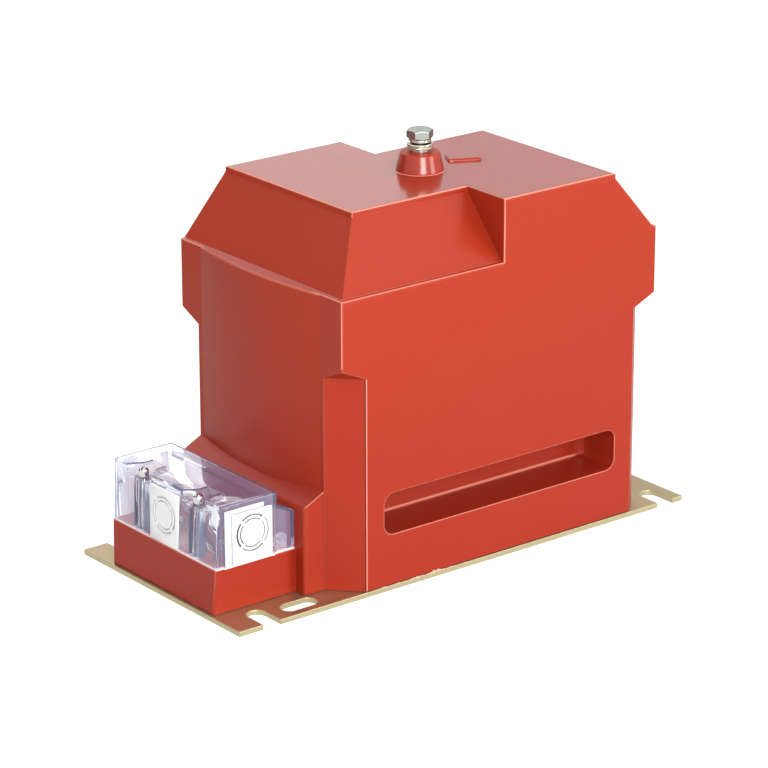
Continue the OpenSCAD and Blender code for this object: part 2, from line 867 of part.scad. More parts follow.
// Tube along the winding axis, from the diameter d1 to d2
module coil(d1, d2, l) {
    translate([body_x, 0, winding_z]) difference() {
        rod_x(d2, l);
        rod_x(d1, l + 2 * over);
    }
}

// Outline of the former without its bore
module former_blank() {
    translate([body_x, 0, winding_z]) {
        rod_x(former_d, former_len);
        for (side = [-1, 1]) translate([side * (former_len - flange_t) / 2, 0, 0]) rod_x(flange_d, flange_t);
    }
}

// Moulded former that the windings sit on, with holes for the lead ends
module winding_former() {
    color("#d8cfa8")
    difference() {
        former_blank();
        core_shape(core_len, core_h);
        band_shape();
        secondary_routes();
    }
}

// Measuring winding next to the core
module secondary_winding() {
    color("#b5653a") coil(former_d, secondary_d, coil_len);
}

// Residual-voltage winding over the measuring winding
module residual_winding() {
    color("#a85a32") coil(secondary_d, residual_d, coil_len);
}

// Insulating tube between the low- and high-voltage windings
module winding_barrier() {
    color("#e3dcc0") coil(residual_d, barrier_d, coil_len);
}

// Half outline of the primary winding, shorter layer by layer towards the outside
function layer_r(i) = (barrier_d + (primary_d - barrier_d) * i / layer_steps) / 2;
function layer_half(i) = (coil_len + (primary_top_len - coil_len) * i / (layer_steps - 1)) / 2;

// Outside of the primary winding
module primary_shape() {
    translate([body_x, 0, winding_z]) rotate([0, 90, 0]) rotate_extrude()
        polygon(concat(
            [for (i = [0 : layer_steps - 1])
                each [[layer_r(i), -layer_half(i)], [layer_r(i + 1), -layer_half(i)]]],
            [for (i = [layer_steps - 1 : -1 : 0])
                each [[layer_r(i + 1), layer_half(i)], [layer_r(i), layer_half(i)]]]));
}

// High-voltage winding
module primary_winding() {
    color("#9c4f2b") primary_shape();
}

// Foil screen over the outermost layer, with a slit so that it is no closed turn
module primary_screen() {
    color("#c98a4b")
    difference() {
        coil(primary_d, primary_d + 2 * screen_t, primary_top_len);
        translate([body_x - primary_top_len, -screen_slit / 2, winding_z - primary_d])
            cube([2 * primary_top_len, screen_slit, primary_d]);
    }
}

// Everything that fills the space of the windings, as one solid
module winding_pack() {
    former_blank();
    coil(former_d / 2, barrier_d, coil_len);
    primary_shape();
    difference() {
        coil(primary_d, primary_d + 2 * screen_t, primary_top_len);
        translate([body_x - primary_top_len, -screen_slit / 2, winding_z - primary_d])
            cube([2 * primary_top_len, screen_slit, primary_d]);
    }
}

// Rod from the screen up to the insert
module primary_lead_shape() {
    difference() {
        translate([body_x, 0, winding_z + primary_d / 2 - 1])
            cylinder(d = primary_lead_d, h = boss_z - insert_len - winding_z - primary_d / 2 + 1);
        coil(primary_d / 2, primary_d + 2 * screen_t, primary_top_len);
    }
}

// Lead from the high-voltage winding to the primary insert
module primary_lead() {
    color("#c07a45") primary_lead_shape();
}

// Place at the winding's end at the radius r and the angle a above the horizontal, on one side
function tenth(v) = round(v * 10) / 10;
function winding_end(r, a, side) = [body_x - coil_len / 2, side * tenth(r * cos(a)),
    winding_z + tenth(r * sin(a))];

// Route from a winding's end past the core, down to the lead floor and on to the foot of terminal i
function lead_route(from, drop_x, i) =
    let (y = (i - (terminal_count - 1) / 2) * terminal_pitch, sideways = abs(y - from.y) > 2 * bend_r)
    concat(
        [from, [drop_x, from.y, from.z], [drop_x, from.y, lead_floor]],
        sideways ? [[drop_x, y, lead_floor]] : [],
        [[terminal_x, sideways ? y : from.y, lead_floor],
         [terminal_x, sideways ? y : from.y, box_z - terminal_insert_h]]);

// Route from the earthed end of the primary winding
module earth_end_route() {
    wire(lead_route(winding_end(barrier_d / 2 + earth_lead_d / 2 + 0.5, -20, -1), end_x + 14, 0),
        earth_lead_d);
}

// Lead that brings the primary winding's earthed end to its terminal
module earth_end_lead() {
    color("#d9d3bd") earth_end_route();
}

// Routes from both ends of the two low-voltage windings
module secondary_routes() {
    inner_r = (former_d + secondary_d) / 4;
    outer_r = (secondary_d + residual_d) / 4;
    wire(lead_route(winding_end(outer_r, 15, -1), end_x + 20, 1), lead_d);
    wire(lead_route(winding_end(inner_r, -10, -1), end_x + 26, 2), lead_d);
    wire(lead_route(winding_end(inner_r, -10, 1), end_x + 26, 3), lead_d);
    wire(lead_route(winding_end(outer_r, 27, 1), end_x + 20, 4), lead_d);
}

// Leads of the low-voltage windings
module secondary_leads() {
    color("#b4713f") secondary_routes();
}

base_plate();
resin_body();
body_inserts();
body_screws();
primary_insert();
primary_flat_washer();
primary_spring_washer();
primary_bolt();
terminal_cover();
cover_screws();
cover_inserts();
entry_plate_end();
entry_plate_front();
entry_plate_back();
secondary_inserts();
secondary_washers();
secondary_spring_washers();
secondary_screws();
core_half_left();
core_half_right();
core_band();
band_clip();
winding_former();
secondary_winding();
residual_winding();
winding_barrier();
primary_winding();
primary_screen();
primary_lead();
earth_end_lead();
secondary_leads();
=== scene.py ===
"""Dresses the cast-resin voltage transformer: finishes, small fitted pieces, studio and camera."""

import logging
import math
from dataclasses import dataclass, field
from enum import Enum
from functools import partial, partialmethod, reduce
from typing import NamedTuple

import bmesh
import bpy
from mathutils import Matrix, Vector


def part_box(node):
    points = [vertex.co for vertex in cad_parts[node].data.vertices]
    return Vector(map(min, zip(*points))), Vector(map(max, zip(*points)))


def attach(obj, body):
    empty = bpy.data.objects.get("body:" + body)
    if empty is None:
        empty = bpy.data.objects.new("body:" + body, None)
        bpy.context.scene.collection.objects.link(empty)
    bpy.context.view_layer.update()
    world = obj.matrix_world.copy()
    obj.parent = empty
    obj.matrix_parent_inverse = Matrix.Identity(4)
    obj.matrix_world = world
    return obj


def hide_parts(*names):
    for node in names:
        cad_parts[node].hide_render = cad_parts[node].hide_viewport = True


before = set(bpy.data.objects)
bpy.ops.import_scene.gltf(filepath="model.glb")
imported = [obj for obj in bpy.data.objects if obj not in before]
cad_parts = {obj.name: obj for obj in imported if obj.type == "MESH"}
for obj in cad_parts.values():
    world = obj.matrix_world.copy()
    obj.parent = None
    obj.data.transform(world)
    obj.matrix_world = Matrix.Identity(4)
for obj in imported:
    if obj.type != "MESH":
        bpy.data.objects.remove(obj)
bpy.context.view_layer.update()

LOG = logging.getLogger("voltage_transformer")
MM = 0.001
WHITE = (1.0, 1.0, 1.0, 1.0)

# A span is a start and an end, a fade is a span and a strength, and a band is a rise and a drop.
Colour = tuple[float, float, float]
Point = tuple[float, float, float]
Span = tuple[float, float]
Fade = tuple[float, float, float]
Band = tuple[Span, Span]
Material = bpy.types.Material
Mesh = bmesh.types.BMesh
Node = bpy.types.Node
Piece = bpy.types.Object
Socket = bpy.types.NodeSocket
Tree = bpy.types.NodeTree


class Axis(Enum):
    """Direction that a pattern or a row of points runs along."""

    X = (1.0, 0.0, 0.0)
    Y = (0.0, 1.0, 0.0)


class Graph:
    """Adds and wires the nodes of one shader tree."""

    def __init__(self, tree: Tree) -> None:
        """Takes over a tree.

        Args:
            tree: The node tree to fill.
        """
        self.tree = tree

    def add(self, kind: str, **settings: object) -> Node:
        """Adds a node.

        Args:
            kind: Its type name.
            settings: Plain properties to set on it.

        Returns:
            The new node.
        """
        node = self.tree.nodes.new(kind)
        for name, value in settings.items():
            setattr(node, name, value)
        return node

    def feed(self, target: Socket, value: object) -> None:
        """Links a socket to an input, or writes a constant into it.

        Args:
            target: The input socket.
            value: An output socket or a constant.
        """
        if isinstance(value, Socket):
            self.tree.links.new(value, target)
        else:
            target.default_value = value

    def wire(self, node: Node, **values: object) -> Node:
        """Feeds several inputs of a node.

        Args:
            node: The node.
            values: Sockets or constants by input name, with underscores for spaces.

        Returns:
            The same node.
        """
        for label, value in values.items():
            self.feed(node.inputs[label.replace("_", " ")], value)
        return node

    def math(self, operation: str, *values: object, clamp: bool = False) -> Socket:
        """Combines numbers in one node.

        Args:
            operation: The Math node's operation.
            values: Sockets or numbers, in the node's order.
            clamp: Whether the result stays between 0 and 1.

        Returns:
            The result's socket.
        """
        node = self.add("ShaderNodeMath", operation=operation, use_clamp=clamp)
        for target, value in zip(node.inputs, values):
            self.feed(target, value)
        return node.outputs[0]

    def fold(self, operation: str, *values: object) -> Socket:
        """Combines any number of values, two at a time.

        Args:
            operation: The Math node's operation.
            values: Sockets or numbers.

        Returns:
            The result's socket.
        """
        return reduce(partial(self.math, operation), values)

    times = partialmethod(fold, "MULTIPLY")
    largest = partialmethod(fold, "MAXIMUM")

    def mix(self, factor: object, first: object, second: object, blend: str = "MIX") -> Socket:
        """Mixes two colours.

        Args:
            factor: Share of the second colour.
            first: Colour or socket.
            second: Colour or socket.
            blend: The blend type.

        Returns:
            The mixed colour's socket.
        """
        node = self.add("ShaderNodeMix", data_type="RGBA", blend_type=blend)
        self.feed(node.inputs[0], factor)
        for target, value in ((node.inputs[6], first), (node.inputs[7], second)):
            self.feed(target, (*value, 1.0) if isinstance(value, tuple) else value)
        return node.outputs[2]

    def remap(self, value: object, low: object, high: object, to_low: float = 0.0,
              to_high: float = 1.0) -> Socket:
        """Maps a range of numbers onto another one, clamped.

        Args:
            value: Number or socket.
            low: Start of the input range.
            high: End of the input range.
            to_low: Start of the output range.
            to_high: End of the output range.

        Returns:
            The mapped number's socket.
        """
        node = self.add("ShaderNodeMapRange", clamp=True)
        for target, number in zip(node.inputs, (value, low, high, to_low, to_high)):
            self.feed(target, number)
        return node.outputs[0]

    def fall(self, value: object, low: float, high: float, top: float = 1.0) -> Socket:
        """Makes a mask that falls to nothing.

        Args:
            value: Number or socket.
            low: Value at which it starts to fall.
            high: Value from which it is nothing.
            top: Strength of the mask below that.

        Returns:
            The mask's socket.
        """
        return self.remap(value, low, high, top, 0.0)

    def band(self, value: object, rise: Span, drop: Span) -> Socket:
        """Makes a mask that rises and falls again.

        Args:
            value: Number or socket.
            rise: Range over which it rises.
            drop: Range over which it falls.

        Returns:
            The mask's socket.
        """
        return self.times(self.remap(value, *rise), self.fall(value, *drop))

    def noise(self, vector: object, scale: object, detail: float = 2.0, roughness: float = 0.5) -> Socket:
        """Adds a noise texture.

        Args:
            vector: Place to sample at.
            scale: Size of the pattern, larger is finer.
            detail: Number of octaves.
            roughness: Weight of the finer octaves.

        Returns:
            The noise value's socket.
        """
        node = self.add("ShaderNodeTexNoise")
        return self.wire(node, Vector=vector, Scale=scale, Detail=detail, Roughness=roughness).outputs["Fac"]

    def place(self, kind: str = "Object") -> Socket:
        """Reads where the shaded point lies, or which way it faces.

        Args:
            kind: The texture coordinate to read.

        Returns:
            The vector's socket.
        """
        return self.add("ShaderNodeTexCoord").outputs[kind]

    def split(self, vector: Socket) -> tuple[Socket, ...]:
        """Takes a vector apart.

        Args:
            vector: The vector's socket.

        Returns:
            The sockets of its X, Y and Z.
        """
        node = self.add("ShaderNodeSeparateXYZ")
        self.feed(node.inputs[0], vector)
        return tuple(node.outputs)

    def radius(self, x: Socket, y: Socket, centre_x: object = 0.0, centre_y: object = 0.0) -> Socket:
        """Measures the distance from an upright axis.

        Args:
            x: Place along X.
            y: Place along Y.
            centre_x: The axis's place along X.
            centre_y: The axis's place along Y.

        Returns:
            The distance's socket.
        """
        pairs = ((x, centre_x), (y, centre_y))
        squares = [self.math("POWER", self.math("SUBTRACT", *pair), 2.0) for pair in pairs]
        return self.math("SQRT", self.math("ADD", *squares))

    def open_air(self, distance: object, samples: int = 6, **settings: bool) -> Socket:
        """Senses how much open space lies round the shaded point.

        Args:
            distance: How far to look, in metres.
            samples: Number of rays.
            settings: Whether to look inside the piece, or at the piece alone.

        Returns:
            The socket of the open share.
        """
        node = self.add("ShaderNodeAmbientOcclusion", samples=samples, **settings)
        return self.wire(node, Distance=distance).outputs["AO"]

    def rays(self, *kinds: str) -> Socket:
        """Masks the rays of some kinds.

        Args:
            kinds: First words of the Light Path node's outputs.

        Returns:
            The mask's socket.
        """
        path = self.add("ShaderNodeLightPath")
        return self.largest(*(path.outputs[f"Is {kind} Ray"] for kind in kinds))


class Patterns:
    """Shader node groups that several finishes share, each built once."""

    def __init__(self) -> None:
        """Builds all groups."""
        self.mottle = self._mottle()
        self.edge = self._edge()
        self.skin = self._skin()
        self.drawn = self._drawn()
        self.turned = self._turned()
        self.upward = self._upward()

    @staticmethod
    def _start(name: str, inputs: dict[str, float], *outputs: str) -> tuple[Graph, dict, dict]:
        """Starts a group.

        Args:
            name: The group's name.
            inputs: Names and usual values of its numbers.
            outputs: Names of its numbers that come out; one named Normal is a vector.

        Returns:
            The graph, the inner sockets of the inputs, and those of the outputs.
        """
        tree = bpy.data.node_groups.new(name, "ShaderNodeTree")
        face = tree.interface
        for label, value in inputs.items():
            face.new_socket(name=label, in_out="INPUT", socket_type="NodeSocketFloat").default_value = value
        for label in outputs:
            kind = "NodeSocketVector" if label == "Normal" else "NodeSocketFloat"
            face.new_socket(name=label, in_out="OUTPUT", socket_type=kind)
        graph = Graph(tree)
        source, sink = graph.add("NodeGroupInput"), graph.add("NodeGroupOutput")
        given = {label: source.outputs[label] for label in inputs}
        return graph, given, {label: sink.inputs[label] for label in outputs}

    def _mottle(self) -> Tree:
        """Slow clouds of colour, as in a cast or plated surface."""
        graph, given, out = self._start("slow_mottle", {"Scale": 12.0, "Contrast": 0.25}, "Mask")
        place = graph.place()
        broad = graph.noise(place, given["Scale"], 3.0, 0.55)
        fine = graph.noise(place, graph.times(given["Scale"], 6.3))
        both = graph.math("ADD", graph.times(broad, 0.75), graph.times(fine, 0.25))
        low, high = (graph.math(way, 0.5, given["Contrast"]) for way in ("SUBTRACT", "ADD"))
        graph.feed(out["Mask"], graph.remap(both, low, high))
        return graph.tree

    def _edge(self) -> Tree:
        """Normal eased over a radius, and a mask along the outward edges of a piece."""
        graph, given, out = self._start("eased_edge", {"Radius": 0.0008, "Reach": 2.0}, "Mask", "Normal")
        bevel = graph.wire(graph.add("ShaderNodeBevel", samples=6), Radius=given["Radius"])
        inside = graph.open_air(graph.times(given["Radius"], given["Reach"]), inside=True, only_local=True)
        graph.feed(out["Mask"], graph.fall(inside, 0.62, 0.90))
        graph.feed(out["Normal"], bevel.outputs["Normal"])
        return graph.tree

    def _skin(self) -> Tree:
        """Low waves and fine grain that a mould leaves on a surface."""
        usual = {"Wave": 90.0, "Grain": 1400.0, "Grain share": 0.2}
        graph, given, out = self._start("moulded_skin", usual, "Height")
        place = graph.place()
        wave = graph.noise(place, given["Wave"], 1.5, 0.45)
        grain = graph.times(graph.noise(place, given["Grain"], 2.0, 0.6), given["Grain share"])
        graph.feed(out["Height"], graph.math("ADD", wave, grain))
        return graph.tree

    def _drawn(self) -> Tree:
        """Long fine streaks along X, as rolling or drawing leaves them."""
        graph, given, out = self._start("rolled_streaks", {"Scale": 60.0, "Stretch": 0.04}, "Mask")
        x, y, z = graph.split(graph.place())
        squeezed = graph.add("ShaderNodeCombineXYZ")
        graph.wire(squeezed, X=graph.times(x, given["Stretch"]), Y=y, Z=z)
        coarse = graph.noise(squeezed.outputs[0], given["Scale"], 2.0, 0.6)
        fine = graph.noise(squeezed.outputs[0], graph.times(given["Scale"], 9.0), 1.0)
        graph.feed(out["Mask"], graph.math("ADD", graph.times(coarse, 0.6), graph.times(fine, 0.4)))
        return graph.tree

    def _turned(self) -> Tree:
        """Fine rings round an upright axis, as a lathe leaves them."""
        usual = {"Centre X": 0.0, "Centre Y": 0.0, "Pitch": 0.0006}
        graph, given, out = self._start("turned_rings", usual, "Height")
        x, y, z = graph.split(graph.place())
        way = graph.math("ADD", graph.radius(x, y, given["Centre X"], given["Centre Y"]), z)
        turns = graph.math("DIVIDE", way, given["Pitch"])
        graph.feed(out["Height"], graph.math("SINE", graph.times(turns, math.tau)))
        return graph.tree

    def _upward(self) -> Tree:
        """Mask of the faces that look up."""
        graph, given, out = self._start("looks_up", {"From": 0.8, "To": 0.97}, "Mask")
        up = graph.split(graph.place("Normal"))[2]
        graph.feed(out["Mask"], graph.remap(up, given["From"], given["To"]))
        return graph.tree


class Surface(Graph):
    """The shader tree of one material, with its Principled shader."""

    def __init__(self, name: str, colour: Colour, roughness: float, patterns: Patterns | None = None) -> None:
        """Makes the material.

        Args:
            name: Its name.
            colour: Its plain colour.
            roughness: Its plain roughness.
            patterns: The shared node groups, where it uses any.
        """
        self.material = bpy.data.materials.new(name)
        self.material.use_nodes = True
        super().__init__(self.material.node_tree)
        self.tree.nodes.clear()
        self.patterns = patterns
        self.shader = self.add("ShaderNodeBsdfPrincipled")
        self.wire(self.shader, Base_Color=(*colour, 1.0), Roughness=roughness)
        self.output = self.wire(self.add("ShaderNodeOutputMaterial"), Surface=self.shader.outputs[0])

    def use(self, group: Tree, **values: object) -> bpy.types.NodeOutputs:
        """Places a shared group.

        Args:
            group: The group.
            values: Values of its inputs, with underscores for spaces.

        Returns:
            The group's outputs.
        """
        return self.wire(self.add("ShaderNodeGroup", node_tree=group), **values).outputs

    def mottle(self, scale: float, contrast: float) -> Socket:
        """Adds slow clouds.

        Args:
            scale: Size of the pattern, larger is finer.
            contrast: Half the range that the mask spans; smaller is harder.

        Returns:
            The mask's socket.
        """
        return self.use(self.patterns.mottle, Scale=scale, Contrast=contrast)[0]

    def relief(self, height: Socket, depth: float, normal: Socket | None = None) -> None:
        """Feeds a bump to the shader's normal.

        Args:
            height: Height socket.
            depth: Depth of the relief in metres.
            normal: Normal that the bump starts from.
        """
        bump = self.wire(self.add("ShaderNodeBump"), Strength=1.0, Distance=depth, Height=height)
        if normal is not None:
            self.wire(bump, Normal=normal)
        self.wire(self.shader, Normal=bump.outputs[0])


@dataclass(frozen=True)
class Finish:
    """A finish with one Principled shader, from which every other finish starts."""

    name: str
    colour: Colour
    roughness: float = 0.4

    def build(self, patterns: Patterns) -> Material:
        """Builds the material.

        Args:
            patterns: The shared node groups.

        Returns:
            The finished material.
        """
        surface = Surface(self.name, self.colour, self.roughness, patterns)
        self.paint(surface)
        return surface.material

    def paint(self, on: Surface) -> None:
        """Lays on colour, gloss and relief.

        Args:
            on: The material's tree.
        """
        raise NotImplementedError

    def gloss(self, on: Surface, mask: Socket, less: float, more: float) -> Socket:
        """Varies the roughness with a mask.

        Args:
            on: The material's tree.
            mask: The mask's socket.
            less: How far the roughness drops where the mask is 0.
            more: How far it rises where the mask is 1.

        Returns:
            The roughness's socket.
        """
        return on.remap(mask, 0.0, 1.0, self.roughness - less, self.roughness + more)


class Spot(NamedTuple):
    """Sockets that tell where a point of the casting lies, seen from the cone's axis, and how it faces."""

    x: Socket
    y: Socket
    z: Socket
    along: Socket
    depth: Socket
    facing: tuple[Socket, ...]


@dataclass(frozen=True)
class EpoxyFinish(Finish):
    """Red cast epoxy: satin from the mould on its sides, glossy where it was filled from above."""

    name: str = "cast_epoxy"
    colour: Colour = (0.395, 0.031, 0.009)
    roughness: float = 0.34
    pale: Colour = (0.430, 0.046, 0.016)
    # Darker tone for the random specks, also used as painted shade towards the foot.
    deep_and_foot_shade: Colour = (0.330, 0.022, 0.009)
    # Painted highlight colour for the edges that face the lamps.
    edge_highlight: Colour = (0.800, 0.300, 0.215)
    # Painted shade colour for the dark line along the foot joint and for the parting groove.
    seam_shade: Colour = (0.045, 0.014, 0.008)
    # Painted shade colour that darkens hollows and recesses.
    shaded_hollow: Colour = (0.235, 0.014, 0.005)
    hollow_reach: float = 0.070
    pale_share: float = 0.40
    deep_share: float = 0.16
    hollow_shade: Fade = (0.62, 0.92, 0.55)
    foot_shade: Fade = (0.02, 0.20, 0.55)
    # Heights between which the painted shade line along the foot fades out.
    plate_seam: Span = (0.0038, 0.0047)
    seam_rough: float = 0.6
    coat: float = 0.70
    coat_rough: float = 0.11
    coat_ior: float = 1.8
    specular: float = 0.26
    skin_depth: float = 0.00010
    filled: Span = (0.18, 0.25)
    filled_z: Span = (0.23, 0.24)
    filled_coat: Span = (0.75, 1.0)
    fade: float = 0.0002
    top_z: float = 0.2512
    ledge_z: float = 0.2075
    ledge_x: Span = (0.1350, 0.1356)
    # Strengths of the painted highlight on the ledges, before and past ledge_x.
    ledge_highlight: Span = (0.62, 0.30)
    rounding: float = 0.0014
    rounding_tilt: Band = ((0.45, 0.60), (0.95, 0.99))
    corner_z: Span = (0.162, 0.163)
    corner_turn: Span = (0.42, 0.58)
    corner_tilt: Span = (0.02, 0.10)
    slope_tilt: Band = ((0.12, 0.25), (0.80, 0.95))
    # Painted highlight strength on upright faces and on slopes, and the turns of the eased normal that keep
    # it on the lit side of an edge.
    highlight_by_tilt: Span = (0.95, 0.15)
    highlight_turn_x: Span = (0.30, 0.55)
    highlight_turn_z: Span = (-0.40, -0.15)
    boss_z: float = 0.2634
    cone_x: float = 0.027
    cone_r: float = 0.022
    cone_coat: float = 0.40
    flat_at: float = 0.1155
    flat_y: Span = (0.0872, 0.0876)
    flat_z: float = 0.1518
    groove_w: float = 0.0006
    # Strength of the painted shade in the parting groove.
    groove_depth: float = 0.9
    lip_w: float = 0.0009
    # Painted highlight strength on the parting line's lip.
    lip_highlight_share: float = 0.82
    recess_x: Span = (0.090, 0.094)
    recess_y: Span = (0.0583, 0.0588)
    recess_z: Band = ((0.0400, 0.0405), (0.0427, 0.0431))
    # Painted highlight strength on the recess fillet.
    recess_highlight: float = 0.55

    def recess_foot_highlight(self, on: Surface, spot: Spot) -> Socket:
        """Masks a painted highlight line on the fillet where the back of a side recess meets its floor.

        Args:
            on: The material's tree.
            spot: The shaded point.

        Returns:
            The mask's socket.
        """
        return on.times(on.fall(spot.along, *self.recess_x), on.fall(spot.depth, *self.recess_y),
                        on.band(spot.z, *self.recess_z), self.recess_highlight)

    def flat_seam(self, on: Surface, spot: Spot) -> tuple[Socket, Socket]:
        """Masks painted shade and highlight on the parting line between a corner flat and a long side, at two
        opposite corners.

        Args:
            on: The material's tree.
            spot: The shaded point.

        Returns:
            The mask of its painted groove shade, and the mask of its painted lip highlight.
        """
        near = on.times(on.remap(spot.depth, *self.flat_y),
                        on.fall(spot.z, self.flat_z - 2 * self.fade, self.flat_z, self.groove_depth),
                        on.remap(on.times(spot.x, spot.y), 0.0, MM))
        at, soft = self.flat_at, self.fade / 2
        start, end = at - self.lip_w, at + self.groove_w
        groove = on.band(spot.along, (at, at + soft), (end, end + soft))
        lip = on.band(spot.along, (start - self.fade, start), (at - soft, at))
        return on.times(groove, near), on.times(lip, near, self.lip_highlight_share)

    def roundings(self, on: Surface, spot: Spot) -> Socket:
        """Masks painted highlights along the middle of the mould's roundings on the top rim, on the ledges
        and on the upright corners.

        Args:
            on: The material's tree.
            spot: The shaded point.

        Returns:
            The mask's socket.
        """
        across_x, across_y, up = spot.facing
        top, ledge = (on.band(spot.z, (z - self.rounding - self.fade, z - self.rounding), (z, z + self.fade))
                      for z in (self.top_z, self.ledge_z))
        ledge = on.times(ledge, on.remap(spot.along, *self.ledge_x, *self.ledge_highlight))
        level = on.times(on.largest(top, ledge), on.band(up, *self.rounding_tilt))
        narrow = on.math("MINIMUM", on.math("ABSOLUTE", across_x), on.math("ABSOLUTE", across_y))
        upright = on.times(on.remap(narrow, *self.corner_turn), on.remap(spot.z, *self.corner_z),
                           on.fall(up, *self.corner_tilt))
        return on.times(on.largest(level, upright), self.highlight_by_tilt[0])

    def paint(self, on: Surface) -> None:
        """Lays on colour, gloss and relief.

        Args:
            on: The material's tree.
        """
        clouds, specks = on.mottle(7.0, 0.22), on.mottle(420.0, 0.2)
        edge, normal = on.use(on.patterns.edge, Radius=MM, Reach=0.85)
        x, y, z = on.split(on.place())
        x = on.math("SUBTRACT", x, self.cone_x)
        facing = on.split(on.place("Normal"))
        spot = Spot(x, y, z, on.math("ABSOLUTE", x), on.math("ABSOLUTE", y), facing)

        # Painted highlights: the edge colour goes where an edge's eased normal turns up and away from +X,
        # towards the lamps. It is stronger on upright faces than on slopes, and also lies on the roundings,
        # the parting-line lip and the recess fillet.
        turned_x, _, turned_z = on.split(normal)
        seen = on.times(on.remap(turned_z, *self.highlight_turn_z), on.fall(turned_x, *self.highlight_turn_x))
        rim = on.times(edge, on.remap(on.band(facing[2], *self.slope_tilt), 0.0, 1.0, *self.highlight_by_tilt))
        groove, lip = self.flat_seam(on, spot)
        rim = on.times(on.largest(rim, self.roundings(on, spot)), seen)
        rim = on.largest(rim, lip, self.recess_foot_highlight(on, spot))
        # Painted shade: a dark line along the foot, where the casting meets the plate, which also makes the
        # resin rougher there.
        seam = on.times(on.fall(z, *self.plate_seam), on.remap(clouds, 0.2, 0.8, 0.75, 1.0))
        # Painted shade in hollows, where little open space lies within hollow_reach.
        shade = on.fall(on.open_air(self.hollow_reach, only_local=True), *self.hollow_shade)
        # Painted shade: the casting turns darker towards the bottom.
        foot = on.fall(z, *self.foot_shade)
        body = on.mix(on.times(clouds, self.pale_share), self.colour, self.pale)
        for mask, colour in ((on.times(specks, self.deep_share), self.deep_and_foot_shade), (foot, self.deep_and_foot_shade),
                             (shade, self.shaded_hollow), (groove, self.seam_shade), (rim, self.edge_highlight),
                             (seam, self.seam_shade)):
            body = on.mix(mask, body, colour)

        below = on.fall(z, self.boss_z - 2 * self.fade, self.boss_z)
        cone = on.times(on.fall(on.radius(x, y), self.cone_r, self.cone_r + MM, self.cone_coat),
                        on.remap(z, self.top_z + 4 * self.fade, self.top_z + 6 * self.fade), below)
        up = on.use(on.patterns.upward, From=0.86, To=0.985)["Mask"]
        up = on.largest(on.times(up, below, on.remap(z, *self.filled_z, *self.filled_coat)), cone)
        satin = self.gloss(on, clouds, 0.04, 0.05)
        gap = on.math("SUBTRACT", on.remap(specks, 0.0, 1.0, *self.filled), satin)
        polish = on.math("ADD", satin, on.times(gap, up))
        rough = on.math("ADD", polish, on.times(seam, self.seam_rough), clamp=True)
        on.wire(on.shader, Base_Color=body, Roughness=rough, Coat_Weight=on.times(up, self.coat),
                Coat_Roughness=self.coat_rough, Coat_IOR=self.coat_ior, Specular_IOR_Level=self.specular)
        skin = on.use(on.patterns.skin, Wave=70.0, Grain=900.0, Grain_share=0.10)["Height"]
        on.relief(skin, self.skin_depth, normal)


@dataclass(frozen=True)
class ZincSheetFinish(Finish):
    """Steel sheet with yellow passivated zinc, which shimmers from gold to pink and green."""

    name: str = "yellow_zinc_sheet"
    colour: Colour = (0.590, 0.450, 0.260)
    roughness: float = 0.34
    pink: Colour = (0.590, 0.370, 0.250)
    green: Colour = (0.460, 0.450, 0.230)
    # Painted sheen colour for the side faces, and painted highlight colour along the edges.
    side_sheen: Colour = (0.630, 0.565, 0.340)
    pink_share: float = 0.75
    green_share: float = 0.50
    # Share of the painted edge highlight.
    edge_highlight_share: float = 0.8
    streak_depth: float = 0.00005
    metallic: float = 0.82

    def paint(self, on: Surface) -> None:
        """Lays on colour, gloss and relief.

        Args:
            on: The material's tree.
        """
        streaks = on.use(on.patterns.drawn, Scale=90.0, Stretch=0.06)["Mask"]
        edge, normal = on.use(on.patterns.edge, Radius=0.0007, Reach=1.6)
        body = on.mix(on.times(on.mottle(16.0, 0.16), self.pink_share), self.colour, self.pink)
        body = on.mix(on.times(on.mottle(41.0, 0.2), self.green_share), body, self.green)
        # Painted sheen on every face that does not look up, and painted highlight along the edges.
        top = on.use(on.patterns.upward, From=0.3, To=0.8)["Mask"]
        bare = on.largest(on.math("SUBTRACT", 1.0, top), on.times(edge, self.edge_highlight_share))
        body = on.mix(bare, body, self.side_sheen)
        body = on.mix(1.0, body, on.remap(streaks, 0.3, 0.7, 0.88, 1.0), "MULTIPLY")
        rough = on.remap(streaks, 0.25, 0.75, self.roughness - 0.07, self.roughness + 0.09)
        on.wire(on.shader, Base_Color=body, Metallic=self.metallic, Roughness=rough)
        on.relief(streaks, self.streak_depth, normal)


@dataclass(frozen=True)
class HardwareFinish(Finish):
    """Plated or bare turned metal with fine rings, painted highlights on its edges and painted shade in its
    crevices.
    """

    # Painted highlight colour for the edges.
    bright: Colour = (0.85, 0.84, 0.80)
    # Painted shade colour for crevices and the gaps between stacked parts.
    shade_tone: Colour = (0.03, 0.03, 0.025)
    crevice: float = 0.0022
    centre: Span = (0.0, 0.0)
    ring_pitch: float = 0.00045
    ring_depth: float = 0.0000008
    stain: float = 0.22
    stained: float = 0.62
    # Share of the painted edge highlight.
    edge_highlight_share: float = 0.7
    crevice_shade: Fade = (0.25, 0.75, 0.9)
    metallic: float = 1.0

    def paint(self, on: Surface) -> None:
        """Lays on colour, gloss and relief.

        Args:
            on: The material's tree.
        """
        stain = on.mottle(110.0, 0.25)
        edge, normal = on.use(on.patterns.edge, Radius=0.0004, Reach=1.6)
        body = on.mix(on.times(stain, self.stain), self.colour, tuple(self.stained * c for c in self.colour))
        # Painted highlight along the edges, then painted shade where little open space lies round the point.
        body = on.mix(on.times(edge, self.edge_highlight_share), body, self.bright)
        body = on.mix(on.fall(on.open_air(self.crevice), *self.crevice_shade), body, self.shade_tone)
        rough = self.gloss(on, stain, 0.04, 0.06)
        on.wire(on.shader, Base_Color=body, Metallic=self.metallic, Roughness=rough)
        x, y = self.centre
        rings = on.use(on.patterns.turned, Centre_X=x, Centre_Y=y, Pitch=self.ring_pitch)["Height"]
        on.relief(rings, self.ring_depth, normal)


